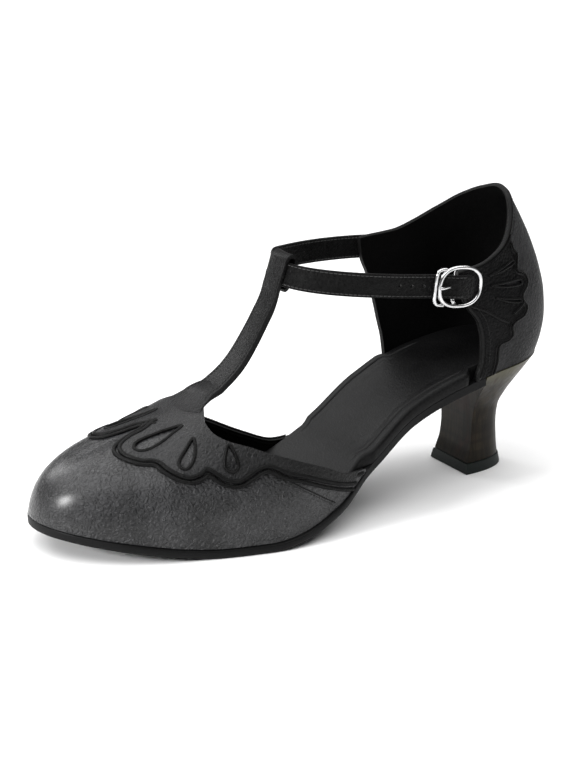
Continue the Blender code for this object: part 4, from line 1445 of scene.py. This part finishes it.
def stripMesh(path, across, outward, section):
    # a section swept along a strap's path
    rings = np.stack([path + across * a + outward * b for a, b in section], 1)
    count, n = rings.shape[:2]
    return rings.reshape(-1, 3), ringFaces(count, n) + endFaces(count, n)


# the centre strap and its loop, in which the ankle strap leans too
loopLook = {
    "lean": 20.0, "slack": 0.0006, "foldThick": 0.0016, "under": 0.0010, "over": 0.0004,
    "centreWidth": 0.0120, "centreThick": 0.0025, "baseThick": 0.0010, "overlap": 0.0020, "bow": 0.0036,
    "leanFrom": 0.038, "leanFull": 0.008, "foldBack": 0.0003, "feather": 0.0085, "featherRows": 9,
    "bedRows": 26, "bedBack": 0.004, "bedLift": 0.9, "flowerLift": 0.5, "featherSink": 0.85,
    "fallAhead": 0.0090, "thicken": (-0.04, 0.12), "thin": (0.86, 1.0), "follow": 0.3, "softEdge": 0.00032,
    "stitchRows": (8, 74), "stitchIn": 0.1,
}


def makeAnkleStrap():
    path = ankleStrapPath()
    way, across, outward = strapDirections(path)
    look = strapLook
    section = roundedStrip(look["width"], look["thick"], look["softEdge"])
    tip = np.clip(np.linalg.norm(path - path[-1], axis=1) / look["tipLength"], 0, 1)
    narrow = look["tipWidth"] + (1 - look["tipWidth"]) * np.sqrt(1 - (1 - tip) ** 2)
    points, faces = stripMesh(path, across * narrow[:, None], outward, section)
    strap = makePiece("ankleStrapBand", points, faces, [strapLeather, edgeLeather], "ankle_strap",
                      "ankle_strap", sharp=60)
    for ahead in look["holes"]:
        at = ringMid + aheadWay * (halfLength + ahead)
        nearest = np.argmin(np.linalg.norm(path - at, axis=1))
        cutHole(strap, path[nearest], outward[nearest], look["holeRadius"])
    runs = []
    keep = slice(2, len(path) - 6)
    inset = (look["width"] / 2 - look["edgeIn"]) * narrow[:, None]
    for side in (1, -1):
        for face in (1, -1):
            line = path + across * side * inset + outward * face * look["thick"] / 2
            runs.append(stitchRun(line[keep], face * outward[keep], strapStitch))
    makeJoined("ankleStrapStitching", runs, threadLook, None, "ankle_strap")


def cutHole(piece, centre, way, radius):
    # a punched hole right through a strap
    mesh = bpy.data.meshes.new("punch")
    work = bmesh.new()
    depth = strapLook["punchLength"]
    bmesh.ops.create_cone(work, cap_ends=True, segments=20, radius1=radius, radius2=radius, depth=depth)
    turn = Vector(way).to_track_quat("Z", "Y").to_matrix().to_4x4()
    place = Matrix.Translation(Vector(centre + shift)) @ turn
    bmesh.ops.transform(work, matrix=place, verts=work.verts)
    work.to_mesh(mesh)
    work.free()
    punch = bpy.data.objects.new("punch", mesh)
    bpy.context.scene.collection.objects.link(punch)
    cut = piece.modifiers.new("punch", "BOOLEAN")
    cut.operation = "DIFFERENCE"
    cut.solver = "EXACT"
    cut.object = punch
    graph = bpy.context.evaluated_depsgraph_get()
    done = bpy.data.meshes.new_from_object(piece.evaluated_get(graph))
    piece.modifiers.clear()
    piece.data = done
    bpy.data.objects.remove(punch)


makeAnkleStrap()
print("ankle strap made")

# centre strap: flared base on the vamp, up the instep, folded over the ankle strap

# run from the vamp to the loop, rise from the vamp to the loop, half width (share of its width)
centrePath = np.array([
    (0.000, 0.000, 0.790),
    (0.105, 0.055, 0.670),
    (0.209, 0.117, 0.600),
    (0.428, 0.276, 0.555),
    (0.636, 0.478, 0.525),
    (0.830, 0.705, 0.500),
    (0.963, 0.898, 0.500),
    (1.000, 1.000, 0.500),
])
# ahead of the base line, half width (share of its width)
baseForm = np.array([
    (0.0000, 0.79),
    (0.0045, 0.93),
    (0.0085, 1.08),
])
# down the inside of the loop, forward of it (shares of the ankle strap's width)
backPly = np.array([
    (0.29, 0.000),
    (0.59, 0.000),
    (0.88, 0.010),
    (1.14, 0.078),
    (1.27, 0.186),
])


def skinTop(x, y):
    # the height of the vamp's skin over a point
    hit = skinTree.ray_cast(Vector((x, y, 0.3)), Vector((0, 0, -1)))[0]
    return hit.z if hit else 0.0


def makeCentreStrap():
    look, gap, width = loopLook, last["gap"], strapLook["width"]
    lean = radians(look["lean"])
    radius = strapLook["thick"] / 2 + look["slack"] + look["foldThick"]
    baseX = throatX + look["overlap"]
    foldX = loopX - look["foldBack"]
    low, high = -width / 2 - look["under"], width / 2 + look["over"]

    def foldPoint(ahead, up):
        return (foldX + ahead * np.cos(lean) - up * np.sin(lean),
                loopZ + ahead * np.sin(lean) + up * np.cos(lean))

    outerX, endZ = foldPoint(radius, low)
    lie = gap + look["baseThick"] + flower["thick"] * look["flowerLift"]
    feather, featherRows = look["feather"], look["featherRows"]
    startZ = skinTop(baseX, float(centreY(baseX))) + lie
    rows = []
    for ahead in np.linspace(feather, 0, featherRows + 1)[:-1]:
        x = baseX + ahead
        reach = np.interp(ahead, baseForm[:, 0], baseForm[:, 1])
        rows.append((x, skinTop(x, float(centreY(x))) + lie, reach, look["baseThick"], 1.0))
    for s in np.linspace(0, 1, 60):
        rise, reach = (float(smoothTable(centrePath, k, s)) for k in (1, 2))
        thick = look["baseThick"] + (look["centreThick"] - look["baseThick"]) * ramp(s, *look["thicken"])
        thick = thick + (look["foldThick"] - look["centreThick"]) * ramp(s, *look["thin"])
        x = baseX + (outerX - baseX) * s
        follow = float(1 - ramp(s, 0, look["follow"]))
        rows.append((x, startZ + (endZ - startZ) * rise, reach, float(thick), follow))
    fold = [foldPoint(radius, up) for up in np.linspace(low, high, 14)[1:-1]]
    fold += [foldPoint(radius * np.cos(t), high + radius * np.sin(t)) for t in np.linspace(0, pi, 22)]
    plies = curveThrough(np.concatenate([[(0.0, 0.0)], backPly]) * width, 0.0008)
    fold += [foldPoint(ahead - radius, high - down) for down, ahead in plies[1:]]
    rows += [(x, z, 0.5, look["foldThick"], 0.0) for x, z in fold]
    rows = np.array(rows)
    way = unit(np.gradient(rows[:, :2], axis=0))
    acrossShares = np.linspace(-1, 1, 17)

    def fallAway(y):
        x = baseX + look["fallAhead"]
        return skinTop(x, float(centreY(x)) + y) - skinTop(x, float(centreY(x)))

    def strapBow(y):
        share = 1 - (abs(y) / outerSpread) ** strapLook["square"]
        return (loopX - strapLook["buckleX"]) * (share ** (1 / strapLook["square"]) - 1)

    tops, unders = [], []
    for k, (x, z, reach, thick, follow) in enumerate(rows):
        normal = np.array([way[k, 1], 0, -way[k, 0]])
        baseShare = float(ramp(x, outerX, baseX))
        mid = float(centreY(x)) if x > baseX else float(centreY(x)) * baseShare
        topRow, underRow = [], []
        for s in acrossShares:
            y = s * reach * look["centreWidth"]
            ahead = max(0.0, (x - baseX) / feather)
            if k < featherRows:
                bow = -look["bow"] * s * s * ahead**2
            else:
                bow = strapBow(y) * float(ramp(-x, -baseX, -outerX))
            top = np.array([x + bow, mid + y, z + fallAway(y) * follow])
            under = top - normal * thick
            if k < look["bedRows"]:
                bed = flower["thick"] * look["bedLift"] * float(ramp(x, baseX - look["bedBack"], baseX))
                up = skinTop(under[0], under[1]) + bed + gap * (1 - ahead) - under[2]
                if k >= featherRows:
                    up = max(0.0, up)
                under, top = under + np.array([0, 0, up]), top + np.array([0, 0, up])
                top = top - np.array([0, 0, look["baseThick"] * look["featherSink"] * ahead])
            topRow.append(top)
            underRow.append(under)
        tops.append(topRow)
        unders.append(underRow)
    rings = [top + under[::-1] for top, under in zip(tops, unders)]
    strap = loftPiece("centreStrapBand", rings, centreLeather, "t_strap", "t_strap", sharp=50)
    bevelEdges(strap, look["softEdge"])
    tops = np.array(tops)
    middle = len(acrossShares) // 2
    upward = unit(np.cross(np.gradient(tops, axis=0), np.gradient(tops, axis=1)))
    if upward[len(rows) // 2, middle, 2] < 0:
        upward = -upward
    runs = []
    sewn = slice(*look["stitchRows"])
    for column in (1, len(acrossShares) - 2):
        line = tops[sewn, column] * (1 - look["stitchIn"]) + tops[sewn, middle] * look["stitchIn"]
        runs.append(stitchRun(line, upward[sewn, column], seamStitch))
    makeJoined("centreStrapStitching", runs, darkThread, None, "t_strap")


makeCentreStrap()
print("centre strap made")

# buckle

# up (share of half the ring's height), drop toward the foot (share of bar drop)
barForm = np.array([(1.00, 0.0), (0.93, 0.3), (0.78, 1.0), (0.40, 1.0)])
# up, ahead of the ring (share of keeper ahead)
keeperForm = np.array([(0.93, -1.20), (0.92, -0.40), (0.86, 0.47), (0.70, 0.87), (0.35, 1.00)])
# ahead (share of half the ring's length), out (0 at the bar, 1 over the front wire)
pinForm = np.array([(0.40, 0.43), (0.63, 0.70), (0.92, 0.98), (1.06, 1.00)])


def bothHalves(form):
    # a form given for the upper half, run on through its mirror image
    up = np.concatenate([form[:, 0], [0], -form[::-1, 0]])
    return up * halfHeight, np.concatenate([form[:, 1], form[-1:, 1], form[::-1, 1]])


def makeBuckle():
    look, gap = buckleLook, last["gap"]
    turn = np.linspace(0, tau, 161)[:-1]
    ahead, up = (
        half * np.sign(way) * np.abs(way) ** (2 / look["square"])
        for half, way in ((halfLength, np.cos(turn)), (halfHeight, np.sin(turn)))
    )
    ring = atBuckle(ahead, 0, up)
    ring = evenSteps(np.concatenate([ring, ring[:1]]), 0.0006, True)
    wires = [tubeMesh(ring, look["wire"] / 2, outWay, sides=18, closed=True)]
    up, drop = bothHalves(barForm)
    bar = curveThrough(atBuckle(look["barAlong"], -look["barDrop"] * drop, up), 0.0005)
    wires.append(tubeMesh(bar, look["barWire"] / 2, aheadWay, sides=14))
    up, ahead = bothHalves(keeperForm)
    keeper = curveThrough(atBuckle(halfLength + look["keeperAhead"] * ahead, 0, up), 0.0005)
    wires.append(tubeMesh(keeper, look["keeperWire"] / 2, outWay, sides=14))
    makeJoined("buckleRing", wires, nickel, "buckle_frame", "buckle")
    hook = look["barWire"] / 2 + gap + look["pin"] / 2
    turn = np.radians([-150, -120, -90, -60, -30, 0, 25])
    rise = look["barDrop"] + look["wire"] / 2 + gap + look["pin"] / 2
    pin = atBuckle(
        np.concatenate([look["barAlong"] + hook * np.cos(turn), pinForm[:, 0] * halfLength]),
        np.concatenate([hook * np.sin(turn), pinForm[:, 1] * rise]) - look["barDrop"],
    )
    wire = tubeMesh(curveThrough(pin, 0.0004), look["pin"] / 2 * look["pinWide"], upWay, sides=16)
    makePiece("bucklePin", *wire, [nickel], "buckle_pin", "pin")
    wrap = look["barWire"] / 2 + gap + look["tabThick"] / 2
    turn = np.radians(np.linspace(-90, 90, 17))
    back = -np.linspace(look["tabFront"], look["tabBack"], 8) * halfLength
    close = look["tabClose"] * ramp(-back / halfLength, look["tabCloseFrom"], look["tabBack"])
    path = atBuckle(
        np.concatenate([back[::-1], look["barAlong"] + wrap * np.cos(turn), back]),
        np.concatenate([np.full_like(back, -wrap), wrap * np.sin(turn), wrap - close]) - look["barDrop"],
    )
    way = unit(np.gradient(path, axis=0))
    outward = unit(np.cross(way, upWay))
    across = unit(np.cross(way, outward))
    section = roundedStrip(look["tabWidth"], look["tabThick"], look["tabEdge"])
    points, faces = stripMesh(path, across, outward, section)
    makePiece("buckleTabLeather", points, faces, [overlayLeather], "buckle_tab", "tab")


makeBuckle()
print("buckle made")

# stage, light and camera

studio = {
    "floor": 0.92, "floorSize": 6.0, "world": (1.0, 1.0, 1.0), "worldStrength": 0.10, "aim": (0, 0, 0.04),
    "lens": 110.75, "shiftX": -0.0107, "shiftY": 0.0085,
    "azimuth": 31.5, "elevation": 18.7, "distance": 1.0, "target": (0.12, 0.0, 0.05),
}
# name, place, size, power
lamps = [
    ("topLight", (0.05, -0.10, 1.80), 4.5, 104.0),
    ("toeLight", (0.95, 0.02, 0.38), 0.20, 8.0),
    ("rimLight", (0.30, -0.95, 0.55), 0.35, 1.9),
]


def makeStage():
    mesh = bpy.data.meshes.new("studioFloor")
    size = studio["floorSize"]
    corners = [(-size, -size, 0), (size, -size, 0), (size, size, 0), (-size, size, 0)]
    mesh.from_pydata(corners, [], [(0, 1, 2, 3)])
    floor = bpy.data.objects.new("studioFloor", mesh)
    bpy.context.scene.collection.objects.link(floor)
    look = Look("paperFloor", roughness=0.85, specular=0.2)
    pale = studio["floor"]
    look.colour(look.mix(look.spread(look.noise(3.0), 0.3, 0.7), (pale,) * 3, (pale + 0.02,) * 3))
    mesh.materials.append(look.material)
    world = bpy.data.worlds.new("studioWorld")
    world.use_nodes = True
    sky = world.node_tree.nodes["Background"]
    sky.inputs["Color"].default_value = (*studio["world"], 1)
    sky.inputs["Strength"].default_value = studio["worldStrength"]
    bpy.context.scene.world = world
    for name, place, size, power in lamps:
        light = bpy.data.lights.new(name, "AREA")
        light.shape = "DISK"
        light.size = size
        light.energy = power
        lamp = bpy.data.objects.new(name, light)
        lamp.location = Vector(place)
        aim = Vector(studio["aim"]) - Vector(place)
        lamp.rotation_euler = aim.to_track_quat("-Z", "Y").to_euler()
        bpy.context.scene.collection.objects.link(lamp)


def makeCamera():
    azimuth, elevation = radians(studio["azimuth"]), radians(studio["elevation"])
    back = Vector((sin(azimuth) * np.cos(elevation), np.cos(azimuth) * np.cos(elevation), sin(elevation)))
    target = Vector(studio["target"]) + Vector(shift)
    data = bpy.data.cameras.new("photoCamera")
    data.lens = studio["lens"]
    data.shift_x = studio["shiftX"]
    data.shift_y = studio["shiftY"]
    camera = bpy.data.objects.new("photoCamera", data)
    camera.location = target + back * studio["distance"]
    camera.rotation_euler = (-back).to_track_quat("-Z", "Y").to_euler()
    bpy.context.scene.collection.objects.link(camera)
    bpy.context.scene.camera = camera


makeStage()
makeCamera()
bpy.context.scene.view_settings.view_transform = "Standard"
